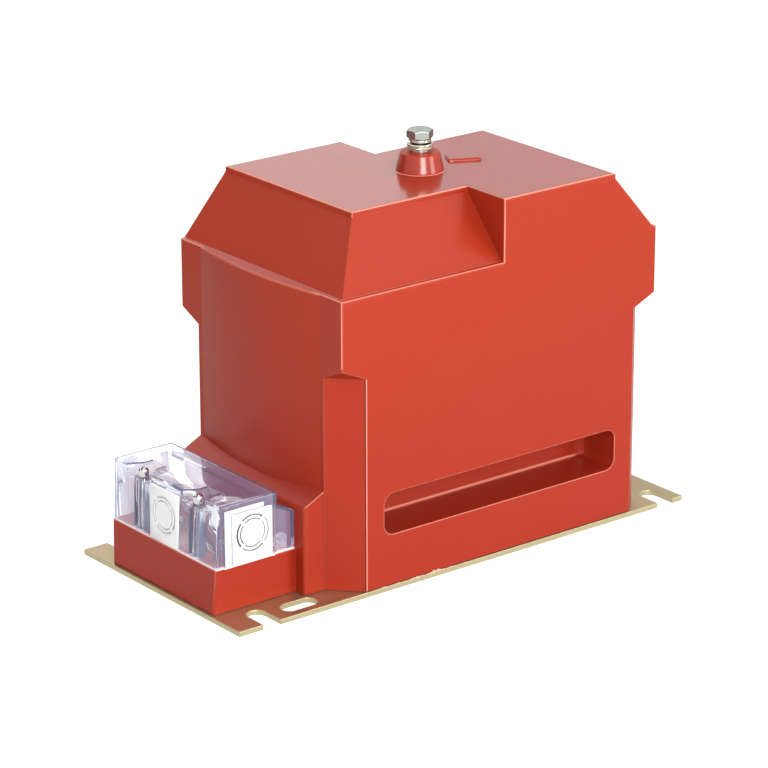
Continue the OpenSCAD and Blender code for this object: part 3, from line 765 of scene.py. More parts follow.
@dataclass(frozen=True)
class ClearFinish(Finish):
    """Clear moulded polycarbonate with a faint violet cast, a painted bluish veil of reflected sky and a
    bright foot. It lets the lamps through.
    """

    name: str = "clear_polycarbonate"
    colour: Colour = (0.988, 0.984, 0.998)
    roughness: float = 0.008
    shadow: Colour = (0.985, 0.983, 0.995)
    # Painted reflection: a bluish diffuse veil that stands in for the sky mirrored by the cover.
    sky_reflection_veil: Colour = (0.50, 0.60, 0.98)
    ior: float = 1.5
    skin_depth: float = 0.000006
    # Share of the painted sky veil away from the foot.
    haze: float = 0.075
    foot: Colour = (0.97, 0.92, 0.95)
    foot_z: Span = (0.0352, 0.0357)
    foot_haze: float = 0.80

    def paint(self, on: Surface) -> None:
        """Lays on gloss and relief, and mixes in the way through for the lamps and the haze, a diffuse veil
        that paints in the reflected sky and brightens the foot.

        Args:
            on: The material's tree.
        """
        rough = on.remap(on.mottle(260.0, 0.2), 0.6, 1.0, self.roughness, self.roughness + 0.02)
        on.wire(on.shader, Transmission_Weight=1.0, IOR=self.ior, Roughness=rough)
        skin = on.use(on.patterns.skin, Wave=40.0, Grain=500.0, Grain_share=0.0)["Height"]
        on.relief(skin, self.skin_depth)
        clear = on.wire(on.add("ShaderNodeBsdfTransparent"), Color=(*self.shadow, 1.0))
        foot = on.fall(on.split(on.place())[2], *self.foot_z)
        diffuse_veil = on.wire(on.add("ShaderNodeBsdfDiffuse"), Color=on.mix(foot, self.sky_reflection_veil, self.foot))
        seen = on.shader
        for share, other in ((on.rays("Shadow", "Diffuse"), clear),
                             (on.remap(foot, 0.0, 1.0, self.haze, self.foot_haze), diffuse_veil)):
            both = on.add("ShaderNodeMixShader")
            for target, value in zip(both.inputs, (share, seen.outputs[0], other.outputs[0])):
                on.feed(target, value)
            seen = both
        on.wire(on.output, Surface=seen.outputs[0])


@dataclass(frozen=True)
class MouldedFinish(Finish):
    """Opaque moulded or pressed insulating material with a fine skin."""

    shade: Colour = (0.70, 0.70, 0.70)
    # Painted shade colour for the knock-out grooves.
    shade_tone: Colour = (0.05, 0.05, 0.06)
    grain: float = 1200.0
    depth: float = 0.00003
    cloud: float = 30.0
    cloud_share: float = 0.22
    # Strength of the painted shade in grooves; 0 leaves it out.
    grooves: float = 0.0
    groove_reach: float = 0.003

    def paint(self, on: Surface) -> None:
        """Lays on colour, gloss and relief.

        Args:
            on: The material's tree.
        """
        clouds = on.mottle(self.cloud, 0.2)
        body = on.mix(on.times(clouds, self.cloud_share), self.colour, self.shade)
        # Painted shade in grooves, where little open space lies round the point.
        if self.grooves:
            air = on.open_air(self.groove_reach, 8, only_local=True)
            body = on.mix(on.fall(air, 0.35, 0.8, self.grooves), body, self.shade_tone)
        on.wire(on.shader, Base_Color=body, Roughness=self.gloss(on, clouds, 0.05, 0.06))
        skin = on.use(on.patterns.skin, Wave=120.0, Grain=self.grain, Grain_share=0.5)["Height"]
        on.relief(skin, self.depth, on.use(on.patterns.edge, Radius=0.0004)["Normal"])


@dataclass(frozen=True)
class WoundFinish(Finish):
    """Wire or strip laid turn by turn, seen as fine bands."""

    # Painted shade colour for the lines between turns, also the darker tone of the slow clouds.
    groove: Colour = (0.10, 0.04, 0.02)
    turns: float = 1100.0
    groove_depth: float = 0.00012
    cloud_share: float = 0.25
    metallic: float = 0.0
    along: Axis = Axis.X

    def paint(self, on: Surface) -> None:
        """Lays on colour, gloss and relief.

        Args:
            on: The material's tree.
        """
        lane = on.add("ShaderNodeVectorMath", operation="DOT_PRODUCT")
        on.feed(lane.inputs[0], on.place())
        on.feed(lane.inputs[1], self.along.value)
        bump = on.math("ABSOLUTE", on.math("SINE", on.times(lane.outputs["Value"], self.turns * math.tau)))
        clouds = on.mottle(40.0, 0.25)
        # Painted shade: darker in the lines between turns; the same colour also darkens the slow clouds.
        body = on.mix(on.fall(bump, 0.0, 0.45, 0.85), self.colour, self.groove)
        body = on.mix(on.times(clouds, self.cloud_share), body, self.groove)
        rough = self.gloss(on, clouds, 0.05, 0.1)
        on.wire(on.shader, Base_Color=body, Metallic=self.metallic, Roughness=rough)
        on.relief(bump, self.groove_depth)


class Form:
    """Mesh steps that several pieces share. All sizes are in millimetres."""

    WELD = 0.0005
    CAD_WELD = 0.002
    CAD_FLAT = math.radians(0.4)

    @staticmethod
    def shade(mesh: bpy.types.Mesh, smooth_angle: float) -> None:
        """Shades a mesh smoothly, apart from its sharp edges.

        Args:
            mesh: The mesh.
            smooth_angle: Edges sharper than this stay sharp, in degrees.
        """
        mesh.polygons.foreach_set("use_smooth", [True] * len(mesh.polygons))
        mesh.set_sharp_from_angle(angle=math.radians(smooth_angle))

    @staticmethod
    def link(name: str, data: bpy.types.ID) -> Piece:
        """Puts an object into the scene.

        Args:
            name: Its name.
            data: Its mesh, lamp or camera.

        Returns:
            The new object at the origin.
        """
        piece = bpy.data.objects.new(name, data)
        bpy.context.scene.collection.objects.link(piece)
        return piece

    @staticmethod
    def finish(name: str, shape: Mesh, smooth_angle: float = 30.0) -> Piece:
        """Turns a mesh in millimetres into an object in metres.

        Args:
            name: The object's name.
            shape: The mesh, which is freed.
            smooth_angle: Edges sharper than this stay sharp, in degrees.

        Returns:
            The new object at the origin.
        """
        bmesh.ops.remove_doubles(shape, verts=shape.verts, dist=Form.WELD)
        bmesh.ops.recalc_face_normals(shape, faces=shape.faces)
        bmesh.ops.scale(shape, vec=(MM, MM, MM), verts=shape.verts)
        mesh = bpy.data.meshes.new(name)
        shape.to_mesh(mesh)
        shape.free()
        Form.shade(mesh, smooth_angle)
        return Form.link(name, mesh)

    @staticmethod
    def settle(piece: Piece) -> None:
        """Makes a piece's modifiers part of its mesh.

        Args:
            piece: The piece.
        """
        made = piece.evaluated_get(bpy.context.evaluated_depsgraph_get())
        piece.data = bpy.data.meshes.new_from_object(made)
        piece.modifiers.clear()

    @staticmethod
    def slab(name: str, low: Vector, high: Vector, through: Vector, corner: float, rim: float) -> Piece:
        """Makes a flat block with two rounded upper corners and eased rims.

        Args:
            name: The object's name.
            low: Its low corner.
            high: Its high corner.
            through: Direction through the block in which the rounded corners run.
            corner: Radius of the two upper corners.
            rim: Width of the rounding on all other edges.

        Returns:
            The new object.
        """
        shape = bmesh.new()
        made = bmesh.ops.create_cube(shape, size=1.0)["verts"]
        middle = (low + high) / 2
        bmesh.ops.scale(shape, vec=high - low, verts=made)
        bmesh.ops.translate(shape, verts=made, vec=middle)
        corners = [e for e in shape.edges if all(v.co.z > middle.z for v in e.verts)
                   and abs((e.verts[0].co - e.verts[1].co).normalized().dot(through)) > 0.9]
        cut = partial(bmesh.ops.bevel, shape, profile=0.5, affect="EDGES", material=-1)
        cut(geom=corners, offset=corner, segments=6)
        rims = [e for e in shape.edges if e.calc_face_angle(0.0) > math.radians(40)]
        cut(geom=rims, offset=rim, segments=2)
        return Form.finish(name, shape, 40.0)

    @staticmethod
    def ring(shape: Mesh, outline: list[Span], centre: Vector, steps: int = 96, closed: bool = True) -> None:
        """Spins an outline once round an upright axis.

        Args:
            shape: The mesh to add to.
            outline: Radius and height of each point.
            centre: Foot of the axis.
            steps: Number of steps round.
            closed: Whether the outline closes on itself.
        """
        verts = [shape.verts.new((centre.x + r, centre.y, centre.z + z)) for r, z in outline]
        pairs = zip(verts, verts[1:] + verts[:1]) if closed else zip(verts, verts[1:])
        edges = [shape.edges.new(pair) for pair in pairs]
        bmesh.ops.spin(shape, geom=verts + edges, cent=centre, axis=(0, 0, 1), dvec=(0, 0, 0),
                       angle=math.tau, steps=steps, use_merge=True, use_duplicate=False)

    @staticmethod
    def sweep(shape: Mesh, verts: list[bmesh.types.BMVert], centre: Vector, axis: Vector, angle: float,
              steps: int, shift: float = 0.0) -> None:
        """Turns a closed section round an axis and shuts both its ends.

        Args:
            shape: The mesh to add to.
            verts: The section's corners.
            centre: A point of the axis.
            axis: Direction of the axis.
            angle: How far it turns, in radians.
            steps: Number of steps.
            shift: How far it moves along the axis in one step.
        """
        face = shape.faces.new(verts)
        bmesh.ops.spin(shape, geom=[*face.verts, *face.edges, face], cent=centre, axis=axis,
                       dvec=axis * shift, angle=angle, steps=steps, use_merge=False, use_duplicate=False)
        bmesh.ops.holes_fill(shape, edges=[edge for edge in shape.edges if edge.is_boundary], sides=0)

    @staticmethod
    def coil(shape: Mesh, section: list[Span], centre: Vector, turns: float, rise: float, start: float = 0.0,
             steps: int = 48, hand: int = 1) -> None:
        """Sweeps a closed section along a helix.

        Args:
            shape: The mesh to add to.
            section: Radius and height of each point.
            centre: Foot of the axis.
            turns: Number of turns.
            rise: Height gained in one turn.
            start: Angle at which it starts, in degrees.
            steps: Steps in one turn.
            hand: 1 for a right-hand helix, -1 for a left-hand one.
        """
        verts = [shape.verts.new((centre.x + r, centre.y, centre.z + z)) for r, z in section]
        turn = Matrix.Rotation(math.radians(start), 3, "Z")
        bmesh.ops.rotate(shape, verts=verts, cent=centre, matrix=turn)
        count = max(4, round(steps * turns))
        up = Vector((0, 0, 1))
        Form.sweep(shape, verts, centre, up, hand * math.tau * turns, count, rise * turns / count)

    @staticmethod
    def carve(piece: Piece, cutters: list[Piece], operation: str = "DIFFERENCE") -> None:
        """Cuts shapes out of a piece, or joins them to it, and removes them.

        Args:
            piece: The piece to change.
            cutters: Closed shapes.
            operation: The Boolean operation.
        """
        for cutter in cutters:
            cut = piece.modifiers.new("cut", "BOOLEAN")
            cut.object = cutter
            cut.operation = operation
            cut.solver = "EXACT"
        Form.settle(piece)
        for cutter in cutters:
            bpy.data.objects.remove(cutter)
        Form.shade(piece.data, 30.0)

    @staticmethod
    def eased(name: str, node: str, width: float, sharp: float = 28.0) -> Piece:
        """Copies a CAD node and rounds its sharp edges.

        Args:
            name: The new object's name.
            node: The CAD node.
            width: Width of the rounding in millimetres.
            sharp: Edges sharper than this are rounded, in degrees.

        Returns:
            The new object.
        """
        shape = bmesh.new()
        shape.from_mesh(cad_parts[node].data)
        bmesh.ops.scale(shape, vec=(1 / MM, 1 / MM, 1 / MM), verts=shape.verts)
        bmesh.ops.remove_doubles(shape, verts=shape.verts, dist=Form.CAD_WELD)
        bmesh.ops.dissolve_limit(shape, angle_limit=Form.CAD_FLAT, use_dissolve_boundaries=False,
                                 verts=shape.verts, edges=shape.edges)
        corners = [e for e in shape.edges
                   if len(e.link_faces) == 2 and e.calc_face_angle(0.0) > math.radians(sharp)]
        bmesh.ops.bevel(shape, geom=corners, offset=width, offset_type="OFFSET", segments=2, profile=0.5,
                        affect="EDGES", clamp_overlap=True, material=-1, loop_slide=True)
        piece = Form.finish(name, shape, 50.0)
        even = piece.modifiers.new("even", "WEIGHTED_NORMAL")
        even.mode = "FACE_AREA"
        even.weight = 80
        even.keep_sharp = True
        Form.settle(piece)
        return piece


@dataclass
class Assembly:
    """A group of pieces with the finishes they share."""

    palette: dict[str, Material]

    def fit(self, piece: Piece, slot: str, *replaced: str, look: str = "") -> Piece:
        """Gives a new piece its finish and its place in the model.

        Args:
            piece: The piece.
            slot: Its slot in the record.
            replaced: CAD nodes that it stands for.
            look: The finish it takes, where that is not the slot's usual one.

        Returns:
            The same piece.
        """
        piece.data.materials.clear()
        piece.data.materials.append(self.palette[look or slot])
        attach(piece, "root")
        if replaced:
            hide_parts(*replaced)
        stood = ", ".join(replaced) or "no node"
        LOG.info("%s: %d faces, stands for %s", piece.name, len(piece.data.polygons), stood)
        return piece

    def dress(self, slot: str, *nodes: str) -> None:
        """Gives CAD nodes their finish.

        Args:
            slot: Their slot in the record.
            nodes: The nodes.
        """
        for node in nodes:
            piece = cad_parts[node]
            if not piece.data.materials:
                piece.data.materials.append(self.palette[slot])
            for place in piece.material_slots:
                place.material = self.palette[slot]
            LOG.info("%s: CAD node in %s", node, slot)


@dataclass
class ResinCasting(Assembly):
    """The red casting, the thin flash that its mould left along the plate, and its skin round the insert."""

    front_y: float = -88.65
    foot_z: float = 3.5
    flakes: tuple[Point, ...] = (
        (-79.0, 8.0, 0.9), (-66.0, 6.0, 0.6), (-54.0, 15.0, 1.0),
        (-38.5, 16.0, 2.0), (-21.0, 7.0, 0.7), (-8.0, 5.0, 0.5),
    )
    flake_t: float = 0.3
    flake_lean: float = 0.35
    flake_low: float = 0.08
    tear: Span = (0.7, 0.3)
    tear_rate: float = 23.0
    sunk: float = 0.05
    steps: int = 10
    skin_at: Point = (27.0, 0.0, 264.0)
    skin_r: Span = (7.1, 10.6)

    def skin(self) -> Piece:
        """Makes the thin resin skin that closes over the insert's shoulder.

        Returns:
            The piece.
        """
        shape = bmesh.new()
        inner, outer = self.skin_r
        outline = [(inner, 0.0), (outer, 0.0), (outer - 0.1, 0.12), (inner + 0.3, 0.2), (inner, 0.3)]
        Form.ring(shape, outline, Vector(self.skin_at), 64)
        return Form.finish("resin_skin", shape)

    def flash(self) -> Piece:
        """Makes the thin torn flakes at the casting's foot.

        Returns:
            The piece.
        """
        shape = bmesh.new()
        for start, length, height in self.flakes:
            made = bmesh.ops.create_grid(shape, x_segments=self.steps, y_segments=1, size=0.5)["verts"]
            for vert in made:
                share = vert.co.x + 0.5
                whole, part = self.tear
                torn = math.sin(math.pi * share) * (whole + part * math.sin(self.tear_rate * share + start))
                rise = height * max(self.flake_low, torn) if vert.co.y > 0 else self.sunk
                lean = self.flake_lean * (vert.co.y + 0.5)
                vert.co = (start + length * share, self.front_y - lean, self.foot_z + rise)
            faces = list({face for vert in made for face in vert.link_faces})
            bmesh.ops.solidify(shape, geom=faces, thickness=self.flake_t)
        return Form.finish("mould_flash", shape)

    def build(self) -> None:
        """Dresses the casting and adds its flash and its skin."""
        self.dress("resin", "resin_body")
        self.fit(self.flash(), "resin", look="flash")
        self.fit(self.skin(), "resin", look="skin")


@dataclass
class BasePlate(Assembly):
    """Steel plate with its screws and the inserts they hold in."""

    edge: float = 0.45

    def build(self) -> None:
        """Builds the plate and dresses what holds it."""
        self.fit(Form.eased("plate_sheet", "base_plate", self.edge), "base_plate", "base_plate")
        self.dress("zinc_screw", "body_screws")
        self.dress("brass_insert", "body_inserts")


@dataclass
class PrimaryTerminal(Assembly):
    """High-voltage terminal: insert, two washers and bolt, one above the other."""

    centre_x: float = 27.0
    insert_top: float = 268.3
    insert_edge: float = 0.25
    washer_r: float = 9.0
    washer_t: float = 1.6
    washer_edge: float = 0.25
    spring_r: float = 7.75
    spring_t: float = 2.2
    spring_edge: float = 0.3
    spring_rise: float = 1.2
    spring_turns: float = 0.965
    spring_start: float = 157.0
    spring_play: float = 0.05
    hole_r: float = 5.2
    bolt_len: float = 26.0
    bolt_edge: float = 0.3
    plain_len: float = 8.0
    thread_r: Span = (4.6, 5.0)
    ridge_h: Span = (0.55, 0.1)
    tip_len: float = 0.5
    pitch: float = 1.5
    sharp: float = 25.0

    def flat_washer(self) -> Piece:
        """Makes the flat washer with its pressed edge.

        Returns:
            The piece.
        """
        shape = bmesh.new()
        hole, r, t, c = self.hole_r, self.washer_r, self.washer_t, self.washer_edge
        outline = [(hole, c), (hole + c, 0), (r - c, 0), (r, c), (r, t - 2 * c), (r - 2 * c, t),
                   (hole + c, t), (hole, t - c)]
        Form.ring(shape, outline, Vector((self.centre_x, 0, self.insert_top)))
        return Form.finish("terminal_flat_washer", shape)

    def spring_washer(self) -> Piece:
        """Makes the split washer, whose ends stand a little apart.

        Returns:
            The piece.
        """
        shape = bmesh.new()
        r, t, c = self.spring_r, self.spring_t, self.spring_edge
        inner = self.hole_r + self.spring_play
        section = [(inner, 0), (r - c, 0), (r, c), (r, t - c), (r - c, t), (inner, t)]
        foot = Vector((self.centre_x, 0, self.insert_top + self.washer_t))
        Form.coil(shape, section, foot, self.spring_turns, self.spring_rise, self.spring_start, 96, -1)
        return Form.finish("terminal_spring_washer", shape)

    def bolt(self) -> Piece:
        """Makes the bolt: the CAD head and shank with eased edges, and a thread on the shank.

        Returns:
            The piece.
        """
        piece = Form.eased("terminal_bolt", "primary_bolt", self.bolt_edge, self.sharp)
        shape = bmesh.new()
        seat = self.insert_top + self.washer_t + self.spring_t + self.spring_rise
        foot = Vector((self.centre_x, 0, seat - self.bolt_len + self.tip_len))
        (root, crest), (wide, narrow) = self.thread_r, self.ridge_h
        ridge = [(root, -wide), (crest, -narrow), (crest, narrow), (root, wide)]
        Form.coil(shape, ridge, foot, (self.bolt_len - self.plain_len) / self.pitch, self.pitch, 0.0, 32)
        thread = Form.finish("thread", shape)
        joined = bmesh.new()
        joined.from_mesh(piece.data)
        joined.from_mesh(thread.data)
        joined.to_mesh(piece.data)
        joined.free()
        bpy.data.objects.remove(thread)
        return piece

    def build(self) -> None:
        """Builds the terminal's stack."""
        insert = Form.eased("terminal_insert", "primary_insert", self.insert_edge, self.sharp)
        self.fit(insert, "plated_brass", "primary_insert")
        self.fit(self.flat_washer(), "plated_brass", "primary_flat_washer")
        self.fit(self.spring_washer(), "spring_steel", "primary_spring_washer")
        self.fit(self.bolt(), "zinc_screw", "primary_bolt")


class Side(Enum):
    """Side of the terminal box that a knock-out plate closes."""

    END = "end"
    FRONT = "front"
    BACK = "back"


@dataclass
class TerminalBox(Assembly):
    """Clear cover, its two screws, the knock-out plates and the secondary terminals."""

    screw_x: float = -181.2
    screw_span: float = 62.0
    seat_z: float = 71.0
    head_r: float = 3.5
    head_h: float = 7.0
    dome_h: float = 2.2
    head_edge: float = 0.25
    shank_r: float = 2.0
    shank_len: float = 46.5
    tip: Span = (0.6, 1.0)
    slot_size: Point = (20.0, 1.1, 3.0)
    slot_turn: float = 25.0
    slot_z: float = 7.2
    cross_r: float = 0.8
    cross_z: float = 3.0
    edge: float = 0.35
    small_edge: float = 0.15
    plate_w: float = 32.0
    plate_round: Span = (2.0, 0.3)
    side_h: float = 36.0
    flange_t: float = 1.0
    flange_cut: float = 6.0
    flange_round: Span = (1.0, 0.1)
    ring_z: float = 55.0
    rings: tuple[Span, ...] = ((13.0, 1.6), (10.0, 1.0))
    ring_depth: float = 2.2
    arc_depths: tuple[float, ...] = (0.70, 1.0, 0.60, 0.35)
    arc_width: Span = (0.6, 0.4)
    bridge: float = 9.0

    def arc(self, name: str, corners: list[Span], face: Vector, out: Vector, quarter: int) -> Piece:
        """Makes the cutter of one quarter of a knock-out ring.

        Args:
            name: Its name.
            corners: Radius and height over the plate of the section's corners.
            face: Centre of the ring on the plate's outer face.
            out: Direction out of the plate.
            quarter: Which quarter, from 0.

        Returns:
            The cutter.
        """
        across = Axis.X if out.y else Axis.Y
        shape = bmesh.new()
        verts = [shape.verts.new(face + Vector(across.value) * r + out * d) for r, d in corners]
        turn = math.radians(45.0 + 90.0 * quarter + self.bridge / 2)
        bmesh.ops.rotate(shape, verts=verts, cent=face, matrix=Matrix.Rotation(turn, 3, out))
        Form.sweep(shape, verts, face, out, math.radians(90.0 - self.bridge), 18)
        return Form.finish(name, shape)

    def knock_out(self, side: Side) -> Piece:
        """Makes a knock-out plate, its weakened rings broken by four bridges.

        Args:
            side: Where it goes.

        Returns:
            The piece.
        """
        node = f"entry_plate_{side.value}"
        low, high = (Vector(corner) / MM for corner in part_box(node))
        out = Vector({Side.END: (-1, 0, 0), Side.FRONT: (0, -1, 0), Side.BACK: (0, 1, 0)}[side])
        flange = None
        if side is not Side.END:
            near, far = [(low.y, low.y + self.flange_t), (high.y - self.flange_t, high.y)][side is Side.FRONT]
            flange = Form.slab("flange", Vector((low.x, near, low.z)),
                               Vector((high.x - self.flange_cut, far, high.z)), out, *self.flange_round)
            low = Vector((high.x - self.plate_w, low.y, low.z))
            high = Vector((high.x, high.y, low.z + self.side_h))
        piece = Form.slab(f"knock_out_{side.value}", low, high, out, *self.plate_round)
        if flange:
            Form.carve(piece, [flange], "UNION")
        face = (low + high) / 2 + out * (high - low).dot(Vector(map(abs, out))) / 2
        face.z = self.ring_z
        grooves = []
        for radius, width in self.rings:
            for quarter, share in enumerate(self.arc_depths):
                least, more = self.arc_width
                inner, floor = radius - width * (least + more * share), -self.ring_depth * share
                corners = [(inner, floor), (radius, floor), (radius, 1.0), (inner, 1.0)]
                grooves.append(self.arc(f"groove_{radius:.0f}_{quarter}", corners, face, out, quarter))
        Form.carve(piece, grooves)
        return piece

    def screw(self, side: int) -> Piece:
        """Makes one cover screw with a domed head, a slot and a cross hole for a sealing wire.

        Args:
            side: -1 for the front, 1 for the back.

        Returns:
            The piece.
        """
        foot = Vector((self.screw_x, side * self.screw_span / 2, self.seat_z))
        r, h, s, c, end = self.head_r, self.head_h, self.shank_r, self.head_edge, -self.shank_len
        dome = [(r * math.cos(a), h - self.dome_h + self.dome_h * math.sin(a))
                for a in map(math.radians, range(0, 90, 10))]
        tip_r, tip_h = s - self.tip[0], end + self.tip[1]
        outline = [(0, end), (tip_r, end), (s, tip_h), (s, 0), (r - c, 0), (r, c), *dome, (0, h)]
        shape = bmesh.new()
        Form.ring(shape, outline, foot, 64, closed=False)
        piece = Form.finish("cover_screw_front" if side < 0 else "cover_screw_back", shape, 32.0)
        slot, hole, w = bmesh.new(), bmesh.new(), self.cross_r
        bmesh.ops.create_cube(slot, size=1.0)
        bmesh.ops.scale(slot, vec=self.slot_size, verts=slot.verts)
        bmesh.ops.create_cone(hole, cap_ends=True, segments=24, radius1=w, radius2=w, depth=20)
        cutters = []
        for name, cutter, angle, axis, z in (("slot", slot, self.slot_turn, "Z", self.slot_z),
                                             ("cross_hole", hole, 90.0, "X", self.cross_z)):
            turn = Matrix.Rotation(math.radians(angle), 3, axis)
            bmesh.ops.rotate(cutter, verts=cutter.verts, cent=(0, 0, 0), matrix=turn)
            bmesh.ops.translate(cutter, verts=cutter.verts, vec=foot + Vector((0, 0, z)))
            cutters.append(Form.finish(name, cutter))
        Form.carve(piece, cutters)
        return piece

    def build(self) -> None:
        """Builds the box's cover and fittings."""
        self.fit(Form.eased("cover_shell", "terminal_cover", self.edge), "clear_cover", "terminal_cover")
        front = self.fit(self.screw(-1), "zinc_screw", look="cover_screw")
        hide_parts("cover_screws")
        self.fit(self.screw(1), "zinc_screw", look="cover_screw")
        for side in Side:
            # The end plate takes a brighter copy of the white plastic, painted light for its dimmer side.
            look = "end_plate" if side is Side.END else ""
            self.fit(self.knock_out(side), "white_plate", f"entry_plate_{side.value}", look=look)
        screws = Form.eased("secondary_pan_screws", "secondary_screws", self.small_edge)
        self.fit(screws, "zinc_screw", "secondary_screws")
        self.dress("brass_insert", "cover_inserts", "secondary_inserts")
        self.dress("zinc_screw", "secondary_washers")
        self.dress("spring_steel", "secondary_spring_washers")


@dataclass
class CoreAndWindings(Assembly):
    """What the resin hides: the cut core with its strap, the windings and the leads."""

    nodes: dict[str, tuple[str, ...]] = field(default_factory=lambda: {
        "core_steel": ("core_half_left", "core_half_right"),
        "band_steel": ("core_band", "band_clip"),
        "former": ("winding_former",),
        "enamel_wire": ("secondary_winding", "residual_winding", "primary_winding"),
        "barrier_film": ("winding_barrier",),
        "brass_insert": ("primary_screen",),
        "lead_wire": ("primary_lead", "earth_end_lead", "secondary_leads"),
    })

    def build(self) -> None:
        """Dresses every hidden node."""
        for slot, nodes in self.nodes.items():
            self.dress(slot, *nodes)


@dataclass
class Studio:
    """Camera, lamps, pale floor and backdrop."""

    eye: Point = (-1.41401, -1.78561, 0.91727)
    right: Point = (0.787358, -0.616489, -0.002934)
    up: Point = (0.207124, 0.260042, 0.943121)
    back: Point = (-0.580661, -0.743182, 0.332436)
    lens: float = 166.907
    sensor: float = 36.0
    shift: Span = (0.022832, -0.018204)
    dome: float = 0.72
    aim_z: float = 0.12
    floor_r: float = 30000.0
    floor_drop: float = 0.1
    floor_grey: float = 0.50
    floor_seen: float = 0.74
    floor_mirrored: float = 0.34

    def camera(self) -> None:
        """Places the camera where the photograph was taken from."""
        data = bpy.data.cameras.new("photo_camera")
        data.lens = self.lens
        data.sensor_width = self.sensor
        data.shift_x, data.shift_y = self.shift
        data.clip_start, data.clip_end = 0.05, 50.0
        camera = Form.link("photo_camera", data)
        turn = Matrix((self.right, self.up, self.back)).transposed().to_4x4()
        camera.matrix_world = Matrix.Translation(self.eye) @ turn
        bpy.context.scene.camera = camera

    def lamp(self, name: str, at: Point, size: float, power: float, mirrored: bool = True) -> None:
        """Hangs one soft square lamp that points at the object.

        Args:
            name: The lamp's name.
            at: Its place in metres.
            size: Its side in metres.
            power: Its power in watts.
            mirrored: Whether gloss and metal show it.
        """
        data = bpy.data.lights.new(name, "AREA")
        data.shape = "SQUARE"
        data.size = size
        data.energy = power
        lamp = Form.link(name, data)
        aim = Vector((0.0, 0.0, self.aim_z)) - Vector(at)
        lamp.matrix_world = Matrix.Translation(at) @ aim.to_track_quat("-Z", "Y").to_matrix().to_4x4()
        lamp.visible_glossy = mirrored

    def sky(self) -> None:
        """Sets a plain surround that looks white and lights the object softly."""
        world = bpy.data.worlds.new("studio_surround")
        world.use_nodes = True
        world.node_tree.nodes.clear()
        graph = Graph(world.node_tree)
        strength = graph.remap(graph.rays("Camera", "Transmission", "Glossy"), 0.0, 1.0, self.dome, 1.0)
        shade = graph.wire(graph.add("ShaderNodeBackground"), Color=WHITE, Strength=strength)
        graph.wire(graph.add("ShaderNodeOutputWorld"), Surface=shade.outputs[0])
        bpy.context.scene.world = world

    def floor(self) -> None:
        """Lays the pale floor that keeps the object's shadow."""
        shape = bmesh.new()
        bmesh.ops.create_circle(shape, cap_ends=True, segments=64, radius=self.floor_r)
        bmesh.ops.translate(shape, verts=shape.verts, vec=(0, 0, -self.floor_drop))
        floor = Form.finish("studio_floor", shape)
        on = Surface("studio_floor", (self.floor_grey,) * 3, 0.9)
        glow = on.math("ADD", on.times(on.rays("Camera", "Transmission"), self.floor_seen),
                       on.times(on.rays("Glossy"), self.floor_mirrored))
        on.wire(on.shader, Specular_IOR_Level=0.0, Emission_Color=WHITE, Emission_Strength=glow)
        floor.data.materials.append(on.material)

    def flag(self, name: str, at: Point, size: Span, shade: float = 0.06) -> None:
        """Stands a card that only metal and gloss mirror.

        Args:
            name: The card's name.
            at: Its middle in metres.
            size: Its width and height in metres.
            shade: How pale it is.
        """
        shape = bmesh.new()
        bmesh.ops.create_grid(shape, x_segments=1, y_segments=1, size=0.5 / MM)
        bmesh.ops.scale(shape, vec=(*size, 1), verts=shape.verts)
        aim = (Vector((0.0, 0.0, at[2])) - Vector(at)).to_track_quat("Z", "Y").to_matrix()
        bmesh.ops.rotate(shape, verts=shape.verts, cent=(0, 0, 0), matrix=aim)
        bmesh.ops.translate(shape, verts=shape.verts, vec=Vector(at) / MM)
        card = Form.finish(name, shape)
        card.data.materials.append(Surface(name, (shade,) * 3, 1.0).material)
        card.visible_camera = card.visible_transmission = card.visible_shadow = card.visible_diffuse = False

    def build(self) -> None:
        """Sets up the whole studio."""
        bpy.context.scene.view_settings.view_transform = "Standard"
        self.camera()
        self.sky()
        self.floor()
        self.lamp("key_lamp", (-1.15, -3.0, 1.15), 1.4, 97.0)
        self.lamp("side_lamp", (1.55, -2.9, 0.85), 1.1, 28.0)
        self.lamp("rear_lamp", (1.8, 2.6, 2.4), 1.6, 34.0, False)
        self.flag("dark_card_left", (-1.3, 1.9, 0.95), (2.2, 1.5))
        self.flag("dark_card_right", (2.6, 0.6, 0.7), (1.0, 1.6))
        self.flag("dark_card_low_left", (-0.50, 0.60, 0.02), (0.55, 0.30))
        self.flag("dark_card_low_right", (0.80, 0.10, 0.02), (0.50, 0.30))
        self.flag("grey_card", (0.70, 0.46, 0.42), (0.48, 0.62), 0.62)
        self.lamp("rim_lamp_back", (0.58, 2.40, 2.05), 0.5, 3.5)
        self.lamp("rim_lamp_front", (1.85, -1.05, 2.35), 0.5, 2.5)


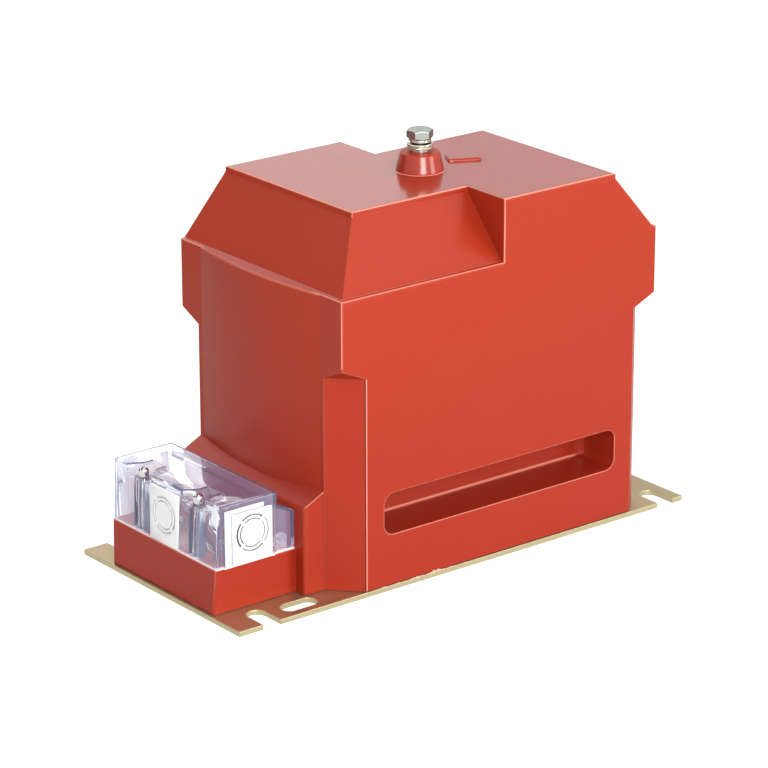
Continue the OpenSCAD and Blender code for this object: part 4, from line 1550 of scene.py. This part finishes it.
def finishes(patterns: Patterns) -> dict[str, Material]:
    """Builds one material for each slot of the record, and those of a few single pieces.

    Args:
        patterns: The shared node groups.

    Returns:
        The materials by slot.
    """
    stack = {"centre": (0.027, 0.0)}
    made = {
        "resin": EpoxyFinish(),
        "flash": MouldedFinish("torn_resin", (0.78, 0.50, 0.42), 0.45, (0.40, 0.08, 0.05), cloud=140.0),
        "skin": MouldedFinish("resin_over_insert", (0.36, 0.030, 0.012), 0.4, (0.25, 0.020, 0.010)),
        "base_plate": ZincSheetFinish(),
        "brass_insert": HardwareFinish("turned_brass", (0.66, 0.48, 0.20), 0.32),
        "plated_brass": HardwareFinish("nickel_plated_brass", (0.70, 0.66, 0.55), 0.22,
                                       metallic=0.9, **stack),
        "zinc_screw": HardwareFinish("zinc_plated_steel", (0.41, 0.455, 0.41), 0.24, metallic=0.85, **stack),
        "cover_screw": HardwareFinish("bright_steel", (0.78, 0.78, 0.76), 0.09),
        "spring_steel": HardwareFinish("zinc_plated_spring_steel", (0.70, 0.69, 0.61), 0.22,
                                       metallic=0.9, **stack),
        "clear_cover": ClearFinish(),
        "white_plate": MouldedFinish("white_moulded_plastic", (0.93, 0.93, 0.92), 0.42, (0.88, 0.88, 0.87),
                                     grooves=0.75),
        # A brighter copy of the white plastic with less painted groove shade: painted light for the dimmer
        # end side.
        "end_plate": MouldedFinish("white_plastic_lit_end", (0.95, 0.95, 0.95), 0.42, (0.92, 0.92, 0.92),
                                   grooves=0.22),
        "core_steel": WoundFinish("core_strip", (0.33, 0.34, 0.36), 0.38, (0.10, 0.10, 0.11),
                                  metallic=1.0, along=Axis.Y),
        "band_steel": HardwareFinish("steel_strapping", (0.45, 0.46, 0.48), 0.30),
        "former": MouldedFinish("moulded_former", (0.62, 0.54, 0.33), 0.5, (0.46, 0.38, 0.22)),
        "enamel_wire": WoundFinish("enamelled_wire", (0.42, 0.14, 0.045), 0.28),
        "barrier_film": MouldedFinish("insulating_film", (0.70, 0.62, 0.42), 0.55, (0.56, 0.47, 0.29),
                                      grain=700.0),
        "lead_wire": MouldedFinish("lead_sleeve", (0.62, 0.58, 0.46), 0.5, (0.50, 0.45, 0.34)),
    }
    return {slot: finish.build(patterns) for slot, finish in made.items()}


def main() -> None:
    """Builds every sub-assembly in order."""
    logging.basicConfig(level=logging.INFO, format="%(name)s %(message)s")
    Studio().build()
    palette = finishes(Patterns())
    for part in (BasePlate, ResinCasting, PrimaryTerminal, TerminalBox, CoreAndWindings):
        part(palette).build()


if __name__ == "__main__":
    main()
